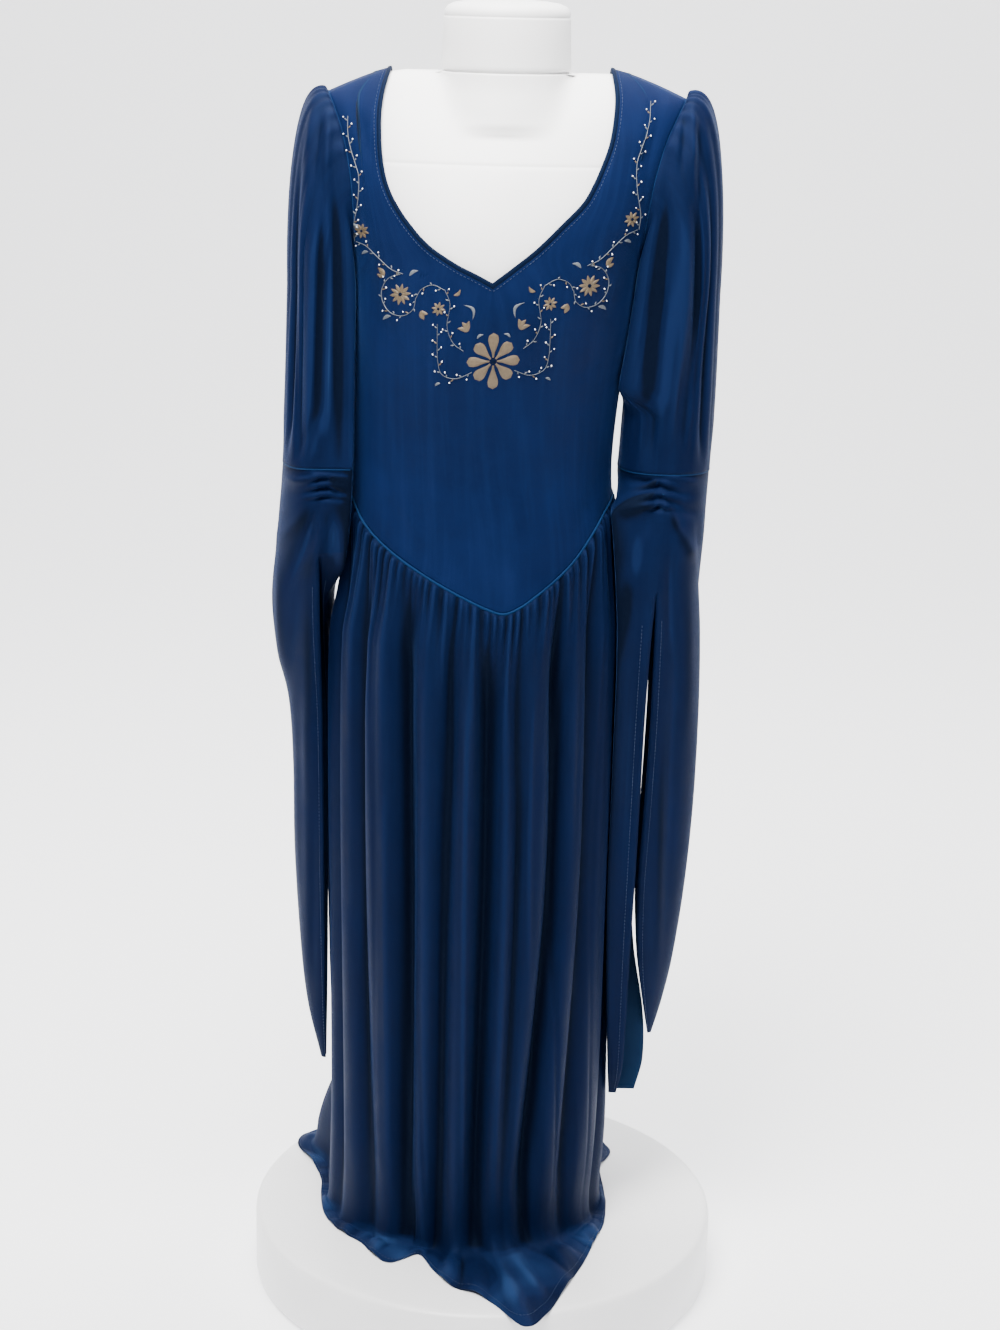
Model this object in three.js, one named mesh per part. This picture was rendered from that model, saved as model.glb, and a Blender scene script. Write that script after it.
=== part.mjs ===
// Medieval gown on a limbless dress form with a round stand.
// Millimetres, +Z up. The origin is the middle of the stand's underside, the front of the gown faces -Y.
// Heights in the tables are above the stand's top face.
import * as THREE from "three";

// Stand
const BASE_HEIGHT = 90;
const BASE_RADIUS = 297;
const BASE_ROUND = 8;
const BASE_SEGMENTS = 40;
const POLE_RADIUS = 16;
const POLE_SEGMENTS = 20;
const POLE_X = -25;

// Cloth: velvet wall and the clearance between sewn pieces
const WALL = 2;
const SEAM_GAP = 0.3;
const FLOOR_CLEARANCE = 0.5;

// Girths of the worn gown: middle, half width and the depth before and behind it
const GIRTHS = [
  { height: 0, middle: -20, half: 178, front: 160, back: 172 },
  { height: 160, middle: -22, half: 175, front: 160, back: 162 },
  { height: 400, middle: -25, half: 175, front: 156, back: 150 },
  { height: 640, middle: -26, half: 177, front: 150, back: 138 },
  { height: 780, middle: -25, half: 176, front: 141, back: 128 },
  { height: 830, middle: -22, half: 170, front: 129, back: 116 },
  { height: 900, middle: -20, half: 162, front: 116, back: 100 },
  { height: 975, middle: -22, half: 156, front: 108, back: 92 },
  { height: 1060, middle: -19, half: 158, front: 114, back: 96 },
  { height: 1140, middle: -13, half: 163, front: 128, back: 102 },
  { height: 1200, middle: -9, half: 167, front: 133, back: 106 },
  { height: 1250, middle: -7, half: 174, front: 127, back: 110 },
  { height: 1300, middle: -5, half: 188, front: 114, back: 111 },
  { height: 1355, middle: -3, half: 206, front: 98, back: 107 },
  { height: 1400, middle: -1, half: 224, front: 86, back: 101 },
  { height: 1450, middle: -1, half: 240, front: 74, back: 94 },
];
const GIRTH_SQUARENESS = 0.9;

// Shoulders: level near the neck, then sloping to the sleeve seam
const CHEST_HEIGHT = 1250;
const SHOULDER_HEIGHT = 1444;
const SHOULDER_DROP = 32;
const SHOULDER_LEVEL = 118;
const SHOULDER_REACH = 207;
const SHOULDER_SLOPE = 1.3;
const SHOULDER_SETBACK = 8;
const SHOULDER_ROUND = 2.6;

// Waist seam all round: degrees from the front middle towards the wearer's left, and height
const WAIST_SEAM = [
  { angle: -180, height: 938 },
  { angle: -135, height: 943 },
  { angle: -90, height: 948 },
  { angle: -75, height: 940 },
  { angle: -62, height: 920 },
  { angle: -50, height: 903 },
  { angle: -27, height: 872 },
  { angle: -7, height: 845 },
  { angle: 4, height: 831 },
  { angle: 10.5, height: 826 },
  { angle: 17, height: 833 },
  { angle: 24, height: 846 },
  { angle: 40, height: 878 },
  { angle: 56, height: 914 },
  { angle: 70, height: 937 },
  { angle: 90, height: 948 },
  { angle: 135, height: 943 },
  { angle: 180, height: 938 },
];
const WAIST_POINT_TURN = 10.5;

// Neckline: rise above its front point, and reach to each side of its own middle
const NECK_MIDDLE = -12;
const NECK_POINT_HEIGHT = 1207;
const NECKLINE = [
  { rise: 0, left: 0, right: 0 },
  { rise: 10, left: 20, right: 13 },
  { rise: 20, left: 42, right: 26 },
  { rise: 40, left: 75, right: 51 },
  { rise: 65, left: 100, right: 77 },
  { rise: 90, left: 118, right: 102 },
  { rise: 110, left: 127, right: 114 },
  { rise: 130, left: 132, right: 123 },
  { rise: 155, left: 135, right: 132 },
  { rise: 185, left: 136, right: 137 },
  { rise: 210, left: 133, right: 138 },
  { rise: 240, left: 125, right: 133 },
];
const BACK_NECK_DROP = 75;
const NECK_TURN_IN = 6;
const NECK_LEAD = 0.19;
const NECK_SPACING = 1.15;

// Armhole: height and reach from the middle of the body
const UNDERARM_HEIGHT = 1215;
const ARMHOLE = [
  { height: 1215, reach: 169 },
  { height: 1250, reach: 167 },
  { height: 1290, reach: 170 },
  { height: 1330, reach: 176 },
  { height: 1370, reach: 187 },
  { height: 1395, reach: 198 },
  { height: 1412, reach: 207 },
];
const ARMHOLE_STEPS = 8;
const BODICE_LEVELS = [948, 1010, 1080, 1150];

// Columns across half a bodice panel: neckline, then shoulder seam
const NECK_COLUMNS = 9;
const SHOULDER_COLUMNS = 3;

// Upper sleeves: outer and inner edge seen from the front, half depth and its middle
const ELBOW_HEIGHT = 982;
const SLEEVE_RIGHT = [
  { height: 982, outer: 251.5, inner: 142, depth: 58, back: 0 },
  { height: 1080, outer: 253, inner: 148, depth: 59, back: 1 },
  { height: 1190, outer: 253, inner: 167, depth: 59, back: 2 },
];
const SLEEVE_LEFT = [
  { height: 982, outer: -260, inner: -186, depth: 72, back: 0 },
  { height: 1080, outer: -256, inner: -185, depth: 68, back: 1 },
  { height: 1190, outer: -253, inner: -185, depth: 62, back: 2 },
];
const HEAD_PUFF = [
  { side: 1, out: 33, up: 26 },
  { side: -1, out: 31, up: 16 },
];
// Path of the sleeve cap from the armhole to the upper arm: how it leaves, spreads and falls
const HEAD_LEAVE = 6;
const HEAD_SPREAD = 10;
const HEAD_FALL = 0.68;
const ARM_SWELL = 3;
const HEAD_STAGES = [0, 0.08, 0.2, 0.38, 0.62, 1];
const HEAD_GATHER = 2.4;
const HEAD_CHORDS = 3;
const UNDERARM_ARCH = 9;
const ARM_LEVELS = [1130, 1060];
const ARM_FOLD_END = 60;
const SLEEVE_SQUARENESS = 0.85;
// Long folds of the upper sleeves: place round the arm, width and depth
const ARM_FOLDS = [
  { angle: 318, width: 9, depth: 7 },
  { angle: 288, width: 8, depth: 5 },
  { angle: 252, width: 9, depth: 7 },
  { angle: 118, width: 10, depth: 6 },
  { angle: 62, width: 9, depth: 5 },
];

// Lower sleeves above the slits: outer edge, slit line, inner edge, half depth and its middle
const CUFF_RIGHT = [
  { height: 982, outer: 251.5, slit: 197, inner: 142, depth: 58, back: 0 },
  { height: 940, outer: 249, slit: 196, inner: 144, depth: 57, back: -10 },
  { height: 900, outer: 247, slit: 194, inner: 147, depth: 54, back: -20 },
  { height: 845, outer: 243, slit: 190, inner: 151, depth: 48, back: -28 },
];
const CUFF_LEFT = [
  { height: 982, outer: -260, slit: -216, inner: -186, depth: 72, back: 0 },
  { height: 940, outer: -263, slit: -214, inner: -189, depth: 70, back: -4 },
  { height: 880, outer: -268, slit: -212, inner: -194, depth: 62, back: -6 },
];
// Tails: far edge, slit edge, extra reach of the rear slit edge, half depth and its middle
const TAIL_RIGHT_OUTER = [
  { height: 245, far: 211, edge: 206, reach: 0, depth: 5, back: -8 },
  { height: 290, far: 222, edge: 198, reach: 0, depth: 17, back: -10 },
  { height: 350, far: 233, edge: 189, reach: 0, depth: 26, back: -12 },
  { height: 450, far: 244, edge: 184, reach: 0, depth: 33, back: -14 },
  { height: 560, far: 250, edge: 187, reach: 0, depth: 37, back: -18 },
  { height: 680, far: 251, edge: 190, reach: 0, depth: 40, back: -22 },
  { height: 780, far: 248, edge: 190.5, reach: 0, depth: 44, back: -26 },
];
const TAIL_RIGHT_INNER = [
  { height: 166, far: 162, edge: 168, reach: 24, depth: 6, back: -20 },
  { height: 205, far: 158, edge: 174, reach: 28, depth: 17, back: -22 },
  { height: 270, far: 156, edge: 176, reach: 24, depth: 25, back: -24 },
  { height: 360, far: 156, edge: 177, reach: 8, depth: 30, back: -27 },
  { height: 450, far: 157, edge: 179, reach: 0, depth: 32, back: -30 },
  { height: 560, far: 157, edge: 181, reach: 0, depth: 34, back: -32 },
  { height: 680, far: 157, edge: 183, reach: 0, depth: 36, back: -34 },
  { height: 780, far: 156, edge: 186, reach: 0, depth: 41, back: -34 },
];
const TAIL_LEFT_OUTER = [
  { height: 195, far: -213, edge: -207, reach: 0, depth: 5, back: 2 },
  { height: 270, far: -230, edge: -207, reach: 0, depth: 18, back: 1 },
  { height: 350, far: -239, edge: -207, reach: 0, depth: 27, back: 0 },
  { height: 480, far: -247, edge: -208, reach: 0, depth: 34, back: 0 },
  { height: 600, far: -249, edge: -209, reach: 0, depth: 38, back: 0 },
  { height: 680, far: -254, edge: -210, reach: 0, depth: 42, back: -1 },
  { height: 740, far: -267, edge: -211, reach: 0, depth: 48, back: -2 },
  { height: 809, far: -274, edge: -212, reach: 0, depth: 55, back: -4 },
];
const TAIL_LEFT_INNER = [
  { height: 250, far: -199, edge: -205, reach: 0, depth: 5, back: 64 },
  { height: 320, far: -196, edge: -207, reach: 0, depth: 14, back: 66 },
  { height: 440, far: -195, edge: -209, reach: 0, depth: 22, back: 68 },
  { height: 560, far: -196, edge: -210, reach: 0, depth: 26, back: 68 },
  { height: 660, far: -198, edge: -211, reach: 0, depth: 28, back: 62 },
  { height: 740, far: -203, edge: -214, reach: 0, depth: 32, back: 50 },
  { height: 815, far: -200, edge: -212, reach: 0, depth: 42, back: 18 },
];
const HALF_COLUMNS = 10;
// Ruching: rows of small waves beside the front slit, below the elbow seam
const RUCHE_TOP = 978;
const RUCHE_STEP = 8;
const RUCHE_ROWS = 8;
const RUCHE_WAVE = 2.6;
const RUCHE_REACH = 20;
const RUCHE_FADE = 30;
const RUCHE_MARGIN = 14;

// Skirt: columns to each column of the bodice, gathers at the seam and the drops of its rows
const SKIRT_SPLIT = 2;
const GATHER_WAVE = 2.2;
const GATHER_FADE = 120;
const SKIRT_DROPS = [14, 38, 76];
const SKIRT_LEVELS = [690, 550, 410, 280, 175, 95, 40];
const GATHER_START = 8;
const FOLD_START = 170;
const FOLD_LEAD = 12;
// Folds: angle near the waist, half way down and near the floor, width in degrees and depth
const SKIRT_FOLDS = [
  // left side
  { top: -110, mid: -112, low: -108, width: 7.5, depth: 18 },
  { top: -91, mid: -90, low: -92, width: 6, depth: 13 },
  // front, from the left
  { top: -71, mid: -70, low: -69, width: 6, depth: 15 },
  { top: -49, mid: -50, low: -46, width: 6, depth: 16 },
  { top: -28, mid: -26, low: -27, width: 5.5, depth: 24 },
  { top: -9, mid: -10, low: -11.5, width: 5, depth: 17 },
  { top: 6.5, mid: 7, low: 4, width: 5.5, depth: 26 },
  { top: 16, mid: 19.5, low: 15, width: 3.5, depth: 8 },
  { top: 34, mid: 31, low: 25, width: 5.5, depth: 24 },
  { top: 53, mid: 52, low: 46, width: 6, depth: 17 },
  { top: 75, mid: 77, low: 74, width: 6, depth: 15 },
  // right side
  { top: 104, mid: 106, low: 104, width: 6.5, depth: 14 },
  // back
  { top: 123, mid: 121, low: 124, width: 7, depth: 19 },
  { top: 141, mid: 143, low: 140, width: 6.5, depth: 20 },
  { top: 159, mid: 158, low: 160, width: 6, depth: 17 },
  { top: 176, mid: 175, low: 177, width: 6.5, depth: 22 },
  { top: -166, mid: -164, low: -167, width: 6, depth: 17 },
  { top: -147, mid: -149, low: -146, width: 6.5, depth: 21 },
  { top: -130, mid: -129, low: -131, width: 6, depth: 16 },
];
const FOLD_CREST = 3;
// Hem on the stand: where the wall meets it, how far its edge is spread, and how high it humps
const HEM = [
  { angle: -180, foot: 192, edge: 250, hump: 10 },
  { angle: -150, foot: 206, edge: 262, hump: 12 },
  { angle: -133, foot: 228, edge: 268, hump: 9 },
  { angle: -121, foot: 238, edge: 269, hump: 8 },
  { angle: -111, foot: 198, edge: 220, hump: 5 },
  { angle: -100, foot: 181, edge: 194, hump: 4 },
  { angle: -88, foot: 177, edge: 188, hump: 4 },
  { angle: -70, foot: 174, edge: 189, hump: 5 },
  { angle: -57, foot: 168, edge: 187, hump: 6 },
  { angle: -44, foot: 160, edge: 183, hump: 8 },
  { angle: -32, foot: 158, edge: 198, hump: 12 },
  { angle: -26, foot: 154, edge: 198, hump: 10 },
  { angle: -19, foot: 142, edge: 166, hump: 5 },
  { angle: -10, foot: 150, edge: 197, hump: 10 },
  { angle: -3, foot: 156, edge: 230, hump: 14 },
  { angle: 5, foot: 158, edge: 251, hump: 9 },
  { angle: 9, foot: 160, edge: 275, hump: 10 },
  { angle: 14, foot: 162, edge: 326, hump: 14 },
  { angle: 20, foot: 164, edge: 308, hump: 15 },
  { angle: 27, foot: 164, edge: 274, hump: 12 },
  { angle: 37, foot: 164, edge: 240, hump: 12 },
  { angle: 54, foot: 168, edge: 206, hump: 9 },
  { angle: 70, foot: 172, edge: 194, hump: 5 },
  { angle: 84, foot: 174, edge: 187, hump: 4 },
  { angle: 100, foot: 176, edge: 187, hump: 4 },
  { angle: 115, foot: 184, edge: 200, hump: 5 },
  { angle: 124, foot: 202, edge: 238, hump: 8 },
  { angle: 140, foot: 196, edge: 240, hump: 9 },
  { angle: 160, foot: 190, edge: 244, hump: 9 },
  { angle: 180, foot: 192, edge: 250, hump: 10 },
];
const HEM_CENTRE = -25;
const FLARE_HEIGHT = 210;
const FOOT_HEIGHT = 9;
const FOOT_FOLD = 0.5;
const FOOT_TAPER = 0.94;
const SPREAD_LEAST = 8;
const RIM_DROOP = 0.07;

// Neck binding
const BINDING_HALF_WIDTH = 2.6;
const BINDING_HALF_THICKNESS = 1.6;
const BINDING_SIDES = 6;
const BINDING_GAP = 1.1;

// Dress form: its girth follows the gown's from inside, and it ends below the waist
const FORM_RIDGE_INSET = 2.6;
const FORM_COLUMNS = 32;
const FORM_RINGS = [
  { height: 762, half: 84, front: 60, back: 56 },
  { height: 766, half: 104, front: 76, back: 70 },
  { height: 780, half: 122, front: 90, back: 82 },
  { height: 810, half: 138, front: 100, back: 92 },
  { height: 850, half: 146, front: 104, back: 90 },
  { height: 900, half: 152, front: 106, back: 88 },
  { height: 975, half: 151, front: 103, back: 86 },
  { height: 1060, half: 153, front: 109, back: 91 },
  { height: 1140, half: 158, front: 123, back: 97 },
  { height: 1200, half: 161, front: 127, back: 101 },
  { height: 1260, half: 163, front: 119, back: 104 },
  { height: 1320, half: 165, front: 105, back: 104 },
  { height: 1370, half: 169, front: 90, back: 98 },
  { height: 1400, half: 172, front: 82, back: 94 },
  { height: 1415, half: 172, front: 78, back: 90 },
  { height: 1424, half: 166, front: 76, back: 88 },
  { height: 1430, half: 156, front: 74, back: 86 },
  { height: 1435, half: 138, front: 72, back: 84 },
  { height: 1438, half: 118, front: 70, back: 80 },
];
const NECK_CENTRE_X = -3;
const NECK_CENTRE_Y = 6;
const NECK_ROUND = [
  { height: 1372, radius: 92 },
  { height: 1400, radius: 84 },
  { height: 1420, radius: 78 },
  { height: 1438, radius: 75 },
  { height: 1443, radius: 74 },
  { height: 1500, radius: 73 },
  { height: 1507, radius: 70 },
  { height: 1513, radius: 60 },
  { height: 1517, radius: 40 },
  { height: 1518, radius: 16 },
];
const NECK_FLATNESS = 0.88;

const VELVET = { color: 0x1b4a80, roughness: 0.85, metalness: 0 };
const BINDING = { color: 0x0e2340, roughness: 0.8, metalness: 0 };
const WHITE_SHELL = { color: 0xf1efec, roughness: 0.45, metalness: 0 };
const WHITE_METAL = { color: 0xe8e8e8, roughness: 0.4, metalness: 0.2 };

// Value of a table's column at any place between its rows, on a smooth curve
function between(rows, key, at, column) {
  const last = rows.length - 1;
  if (at <= rows[0][key]) return rows[0][column];
  if (at >= rows[last][key]) return rows[last][column];
  let i = 0;
  while (rows[i + 1][key] < at) i += 1;
  const slope = (j) => {
    const a = rows[Math.max(j - 1, 0)];
    const b = rows[Math.min(j + 1, last)];
    return (b[column] - a[column]) / (b[key] - a[key]);
  };
  const step = rows[i + 1][key] - rows[i][key];
  const t = (at - rows[i][key]) / step;
  const rise = t * t * (3 - 2 * t);
  const start = t * (1 - t) * (1 - t) * step * slope(i);
  const end = t * t * (t - 1) * step * slope(i + 1);
  return rows[i][column] * (1 - rise) + rows[i + 1][column] * rise + start + end;
}

const UP = new THREE.Vector3(0, 0, 1);
const BACKWARD = new THREE.Vector3(0, 1, 0);

function radians(degrees) {
  return (degrees * Math.PI) / 180;
}

function clamp(value) {
  return Math.min(Math.max(value, 0), 1);
}

function smooth(value) {
  const t = clamp(value);
  return t * t * (3 - 2 * t);
}

// Height of the shoulder line at a reach from the middle of the body
function shoulderHeight(reach) {
  const along = Math.max((Math.abs(reach) - SHOULDER_LEVEL) / (SHOULDER_REACH - SHOULDER_LEVEL), 0);
  return SHOULDER_HEIGHT - SHOULDER_DROP * along ** SHOULDER_SLOPE;
}

function shoulderSetback(height) {
  return SHOULDER_SETBACK * smooth((height - CHEST_HEIGHT) / (SHOULDER_HEIGHT - CHEST_HEIGHT));
}

// How far the chest still stands out at a height: 1 at the chest, 0 on the shoulder line
function chestFullness(reach, height, inset = 0) {
  const top = shoulderHeight(reach) - inset - CHEST_HEIGHT;
  const up = clamp((height - CHEST_HEIGHT) / top);
  return Math.sqrt(1 - up ** SHOULDER_ROUND);
}

// Point of the worn gown at an angle round the body, 0 in front and 90 at +X
function bodyPoint(angle, height) {
  const a = radians(angle);
  const reach = between(GIRTHS, "height", height, "half") * Math.sin(a);
  const side = Math.cos(a) >= 0 ? "front" : "back";
  const depth = between(GIRTHS, "height", height, side) * Math.abs(Math.cos(a)) ** GIRTH_SQUARENESS;
  const y = depth * chestFullness(reach, height);
  const x = between(GIRTHS, "height", height, "middle") + reach;
  return new THREE.Vector3(x, shoulderSetback(height) + (side === "front" ? -y : y), height);
}

function bodyOutward(angle, height) {
  const a = radians(angle);
  const side = Math.cos(a) >= 0 ? "front" : "back";
  const half = between(GIRTHS, "height", height, "half");
  const depth = between(GIRTHS, "height", height, side);
  return new THREE.Vector3(Math.sin(a) / half, -Math.cos(a) / depth, 0).normalize();
}

function angleAt(reach, height) {
  const half = between(GIRTHS, "height", height, "half");
  return (Math.asin(Math.min(reach / half, 1)) * 180) / Math.PI;
}

function waistHeight(angle) {
  const around = angle > 180 ? angle - 360 : angle;
  return between(WAIST_SEAM, "angle", around, "height");
}

// Cloth sheets: points and triangles of the middle surface, thickened afterwards
function newSheet() {
  return { points: [], faces: [], cuts: [] };
}

// A cut edge of the wall is square to the direction in which its seam is stepped over
function addCut(sheet, id, direction) {
  sheet.cuts.push({ id, direction });
}

function addRow(sheet, row) {
  const first = sheet.points.length;
  sheet.points.push(...row);
  return row.map((point, i) => first + i);
}

function addStrip(sheet, rows) {
  for (let r = 0; r + 1 < rows.length; r += 1) {
    const low = rows[r];
    const high = rows[r + 1];
    for (let c = 0; c + 1 < low.length; c += 1) {
      sheet.faces.push([low[c], low[c + 1], high[c + 1]]);
      sheet.faces.push([low[c], high[c + 1], high[c]]);
    }
  }
}

function sheetNormals(sheet) {
  const normals = sheet.points.map(() => new THREE.Vector3());
  for (const [a, b, c] of sheet.faces) {
    const ab = sheet.points[b].clone().sub(sheet.points[a]);
    const ac = sheet.points[c].clone().sub(sheet.points[a]);
    const normal = ab.cross(ac);
    for (const corner of [a, b, c]) normals[corner].add(normal);
  }
  return normals.map((normal) => normal.normalize());
}

// Closed wall round a sheet: an outer face, an inner face and the cut edges between them
function thicken(sheet, mirrored = false) {
  const faces = mirrored ? sheet.faces.map(([a, b, c]) => [a, c, b]) : sheet.faces;
  const normals = sheetNormals({ points: sheet.points, faces });
  for (const { id, direction } of sheet.cuts) {
    normals[id].addScaledVector(direction, -normals[id].dot(direction)).normalize();
  }
  const count = sheet.points.length;
  const points = [];
  for (const side of [0.5, -0.5]) {
    sheet.points.forEach((point, i) => {
      points.push(point.clone().addScaledVector(normals[i], side * WALL));
    });
  }
  const all = [];
  const edges = new Map();
  for (const [a, b, c] of faces) {
    all.push([a, b, c], [a + count, c + count, b + count]);
    for (const [from, to] of [[a, b], [b, c], [c, a]]) {
      edges.set(`${from},${to}`, [from, to]);
    }
  }
  for (const [from, to] of edges.values()) {
    if (edges.has(`${to},${from}`)) continue;
    all.push([to, from, from + count], [to, from + count, to + count]);
  }
  return solid(points, all);
}

function solid(points, faces) {
  const geometry = new THREE.BufferGeometry();
  const positions = points.flatMap((point) => [point.x, point.y, point.z + BASE_HEIGHT]);
  geometry.setAttribute("position", new THREE.Float32BufferAttribute(positions, 3));
  geometry.setIndex(faces.flat());
  geometry.computeVertexNormals();
  return geometry;
}

// Bodice
function neckReach(side, rise) {
  return between(NECKLINE, "rise", rise, side < 0 ? "left" : "right");
}

// Rise at which the neckline meets the shoulder line
function neckRise(side) {
  let rise = SHOULDER_HEIGHT - NECK_POINT_HEIGHT;
  for (let i = 0; i < 6; i += 1) {
    const x = NECK_MIDDLE + side * neckReach(side, rise);
    rise = shoulderHeight(x - GIRTHS[GIRTHS.length - 1].middle) - NECK_POINT_HEIGHT;
  }
  return rise;
}

// Top edge of a bodice panel, as reach from the body's middle and height
function topEdge(side, column, isFront) {
  const top = neckRise(side);
  const neckX = NECK_MIDDLE + side * neckReach(side, top);
  const middle = GIRTHS[GIRTHS.length - 1].middle;
  if (column > NECK_COLUMNS) {
    const t = (column - NECK_COLUMNS) / SHOULDER_COLUMNS;
    const reach = Math.abs(neckX - middle) * (1 - t) + SHOULDER_REACH * t;
    return { x: middle + side * reach, height: shoulderHeight(reach) };
  }
  const t = column / NECK_COLUMNS;
  if (!isFront) {
    const turn = radians(90 * t);
    const x = NECK_MIDDLE + (neckX - NECK_MIDDLE) * Math.sin(turn);
    const fall = Math.cos(turn) ** 0.8;
    const level = top + ((neckRise(-1) + neckRise(1)) / 2 - top) * fall;
    return { x, height: NECK_POINT_HEIGHT + level - BACK_NECK_DROP * fall };
  }
  const rise = (top * (1 - Math.cos(Math.PI * t ** NECK_SPACING))) / 2;
  return { x: NECK_MIDDLE + side * neckReach(side, rise), height: NECK_POINT_HEIGHT + rise };
}

function armholeLevels() {
  const levels = [];
  const rise = ARMHOLE[ARMHOLE.length - 1].height - UNDERARM_HEIGHT;
  for (let k = 0; k <= ARMHOLE_STEPS; k += 1) {
    levels.push(UNDERARM_HEIGHT + (rise * (1 - Math.cos((Math.PI * k) / ARMHOLE_STEPS))) / 2);
  }
  return levels;
}

function armholeAngle(height) {
  if (height <= UNDERARM_HEIGHT) return 90;
  return angleAt(between(ARMHOLE, "height", height, "reach"), height);
}

// Angle of a front column at a height, between the neckline and the armhole, so that the columns that
// end beside the neck lead round it
function besideNeck(side, u, height) {
  const top = neckRise(side);
  const rise = Math.min(Math.max(height - NECK_POINT_HEIGHT, 0), top);
  const edgeTurn = Math.acos(1 - (2 * rise) / top) / Math.PI;
  const share = NECK_COLUMNS / (NECK_COLUMNS + SHOULDER_COLUMNS);
  const own = share * edgeTurn ** (1 / NECK_SPACING);
  const neckX = NECK_MIDDLE + side * neckReach(side, rise);
  const reach = side * (neckX - between(GIRTHS, "height", height, "middle"));
  const neckAngle = Math.sign(reach) * angleAt(Math.abs(reach), height);
  const part = (Math.abs(u) - own) / (1 - own);
  return side * (neckAngle + (armholeAngle(height) - neckAngle) * part);
}

function columnAngle(side, u, height, isFront) {
  const plain = u * armholeAngle(height);
  if (!isFront) return plain;
  const share = smooth((Math.abs(u) - NECK_LEAD) / NECK_LEAD);
  return plain + (besideNeck(side, u, height) - plain) * share;
}

// Rows of one bodice panel, from the waist seam up to the neck and shoulders
function bodiceRows(isFront) {
  const levels = [...BODICE_LEVELS, ...armholeLevels()];
  const low = levels[0];
  const high = levels[levels.length - 1];
  const columns = NECK_COLUMNS + SHOULDER_COLUMNS;
  const seam = (isFront ? -SEAM_GAP : SEAM_GAP) / 2;
  return levels.map((level) => {
    const v = (level - low) / (high - low);
    const row = [];
    for (let c = -columns; c <= columns; c += 1) {
      const side = c < 0 ? -1 : 1;
      const u = c / columns;
      const top = topEdge(side, Math.abs(c), isFront);
      const turn = isFront ? WAIST_POINT_TURN * (1 - u * u) : 0;
      const start = 90 * u + turn;
      const bottom = waistHeight(isFront ? start : 180 - start);
      const height = bottom + (top.height - bottom) * v;
      const middle = between(GIRTHS, "height", top.height, "middle");
      const reach = top.x - middle;
      const end = Math.sign(reach) * angleAt(Math.abs(reach), top.height);
      const base = columnAngle(side, u, height, isFront) + turn * (1 - smooth(v));
      const rest = end - columnAngle(side, u, top.height, isFront);
      const angle = base + rest * v ** NECK_TURN_IN;
      const point = bodyPoint(isFront ? angle : 180 - angle, height);
      point.y += seam;
      row.push(point);
    }
    return isFront ? row : row.reverse();
  });
}

function bodiceSheet(isFront) {
  const sheet = newSheet();
  const rows = bodiceRows(isFront).map((row) => addRow(sheet, row));
  addStrip(sheet, rows);
  return { sheet, rows };
}

// Points along a cut edge, each with the cloth's normal, the direction that leads off the cloth
// and how much longer a step off it is where the edge bends
function edgePoints(sheet, ids, outwards) {
  const normals = sheetNormals(sheet);
  const last = ids.length - 1;
  return ids.map((id, i) => {
    const ends = [[Math.max(i - 1, 0), Math.max(i, 1)], [Math.min(i, last - 1), Math.min(i + 1, last)]];
    const [into, onward] = ends.map(([from, to]) => {
      return sheet.points[ids[to]].clone().sub(sheet.points[ids[from]]).normalize();
    });
    const along = into.clone().add(onward).normalize();
    const away = normals[id].clone().cross(along).normalize();
    if (away.dot(outwards) < 0) away.negate();
    return { id, point: sheet.points[id].clone(), normal: normals[id], away, mitre: 1 / along.dot(into) };
  });
}

function armholeSide(side, isFront) {
  const { sheet, rows } = bodiceSheet(isFront);
  const isLast = (side > 0) === isFront;
  const ids = rows.slice(BODICE_LEVELS.length).map((row) => row[isLast ? row.length - 1 : 0]);
  return edgePoints(sheet, ids, new THREE.Vector3(side, 0, 1));
}

// Edge round one armhole: down the back from the shoulder, under the arm and up the front
function armholeRing(side) {
  const front = armholeSide(side, true);
  const back = armholeSide(side, false);
  for (const end of [0, front.length - 1]) {
    const shared = front[end].away.clone().add(back[end].away);
    shared.y = 0;
    front[end].away = shared.normalize();
    back[end].away = front[end].away;
  }
  return { front, back, all: [...[...back].reverse(), ...front.slice(1)] };
}

function bodicePanel(isFront) {
  const { sheet, rows } = bodiceSheet(isFront);
  const top = rows[rows.length - 1];
  for (const id of rows[0]) addCut(sheet, id, UP);
  for (const row of rows.slice(0, BODICE_LEVELS.length + 1)) {
    addCut(sheet, row[0], BACKWARD);
    addCut(sheet, row[row.length - 1], BACKWARD);
  }
  for (let c = 0; c <= SHOULDER_COLUMNS; c += 1) {
    addCut(sheet, top[c], BACKWARD);
    addCut(sheet, top[top.length - 1 - c], BACKWARD);
  }
  const neck = top.slice(SHOULDER_COLUMNS + 1, top.length - SHOULDER_COLUMNS - 1);
  for (const { id, away } of edgePoints(sheet, neck, UP)) addCut(sheet, id, away);
  for (const side of [-1, 1]) {
    const ring = armholeRing(side);
    for (const { id, away } of isFront ? ring.front : ring.back) addCut(sheet, id, away);
  }
  return sheet;
}

// Sleeve section between two heights of a table: angle 0 outside, 90 behind, 180 inside, 270 in front
function sleevePoint(rows, angle, height) {
  const a = radians(angle);
  const outer = between(rows, "height", height, "outer");
  const inner = between(rows, "height", height, "inner");
  const depth = between(rows, "height", height, "depth");
  const back = between(rows, "height", height, "back");
  const squared = (value) => Math.sign(value) * Math.abs(value) ** SLEEVE_SQUARENESS;
  const x = (outer + inner) / 2 + ((outer - inner) / 2) * squared(Math.cos(a));
  return new THREE.Vector3(x, back + depth * squared(Math.sin(a)), height);
}

function sleeveOutward(rows, angle) {
  const side = Math.sign(rows[0].outer);
  const a = radians(angle);
  return new THREE.Vector3(side * Math.cos(a), Math.sin(a), 0);
}

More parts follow.
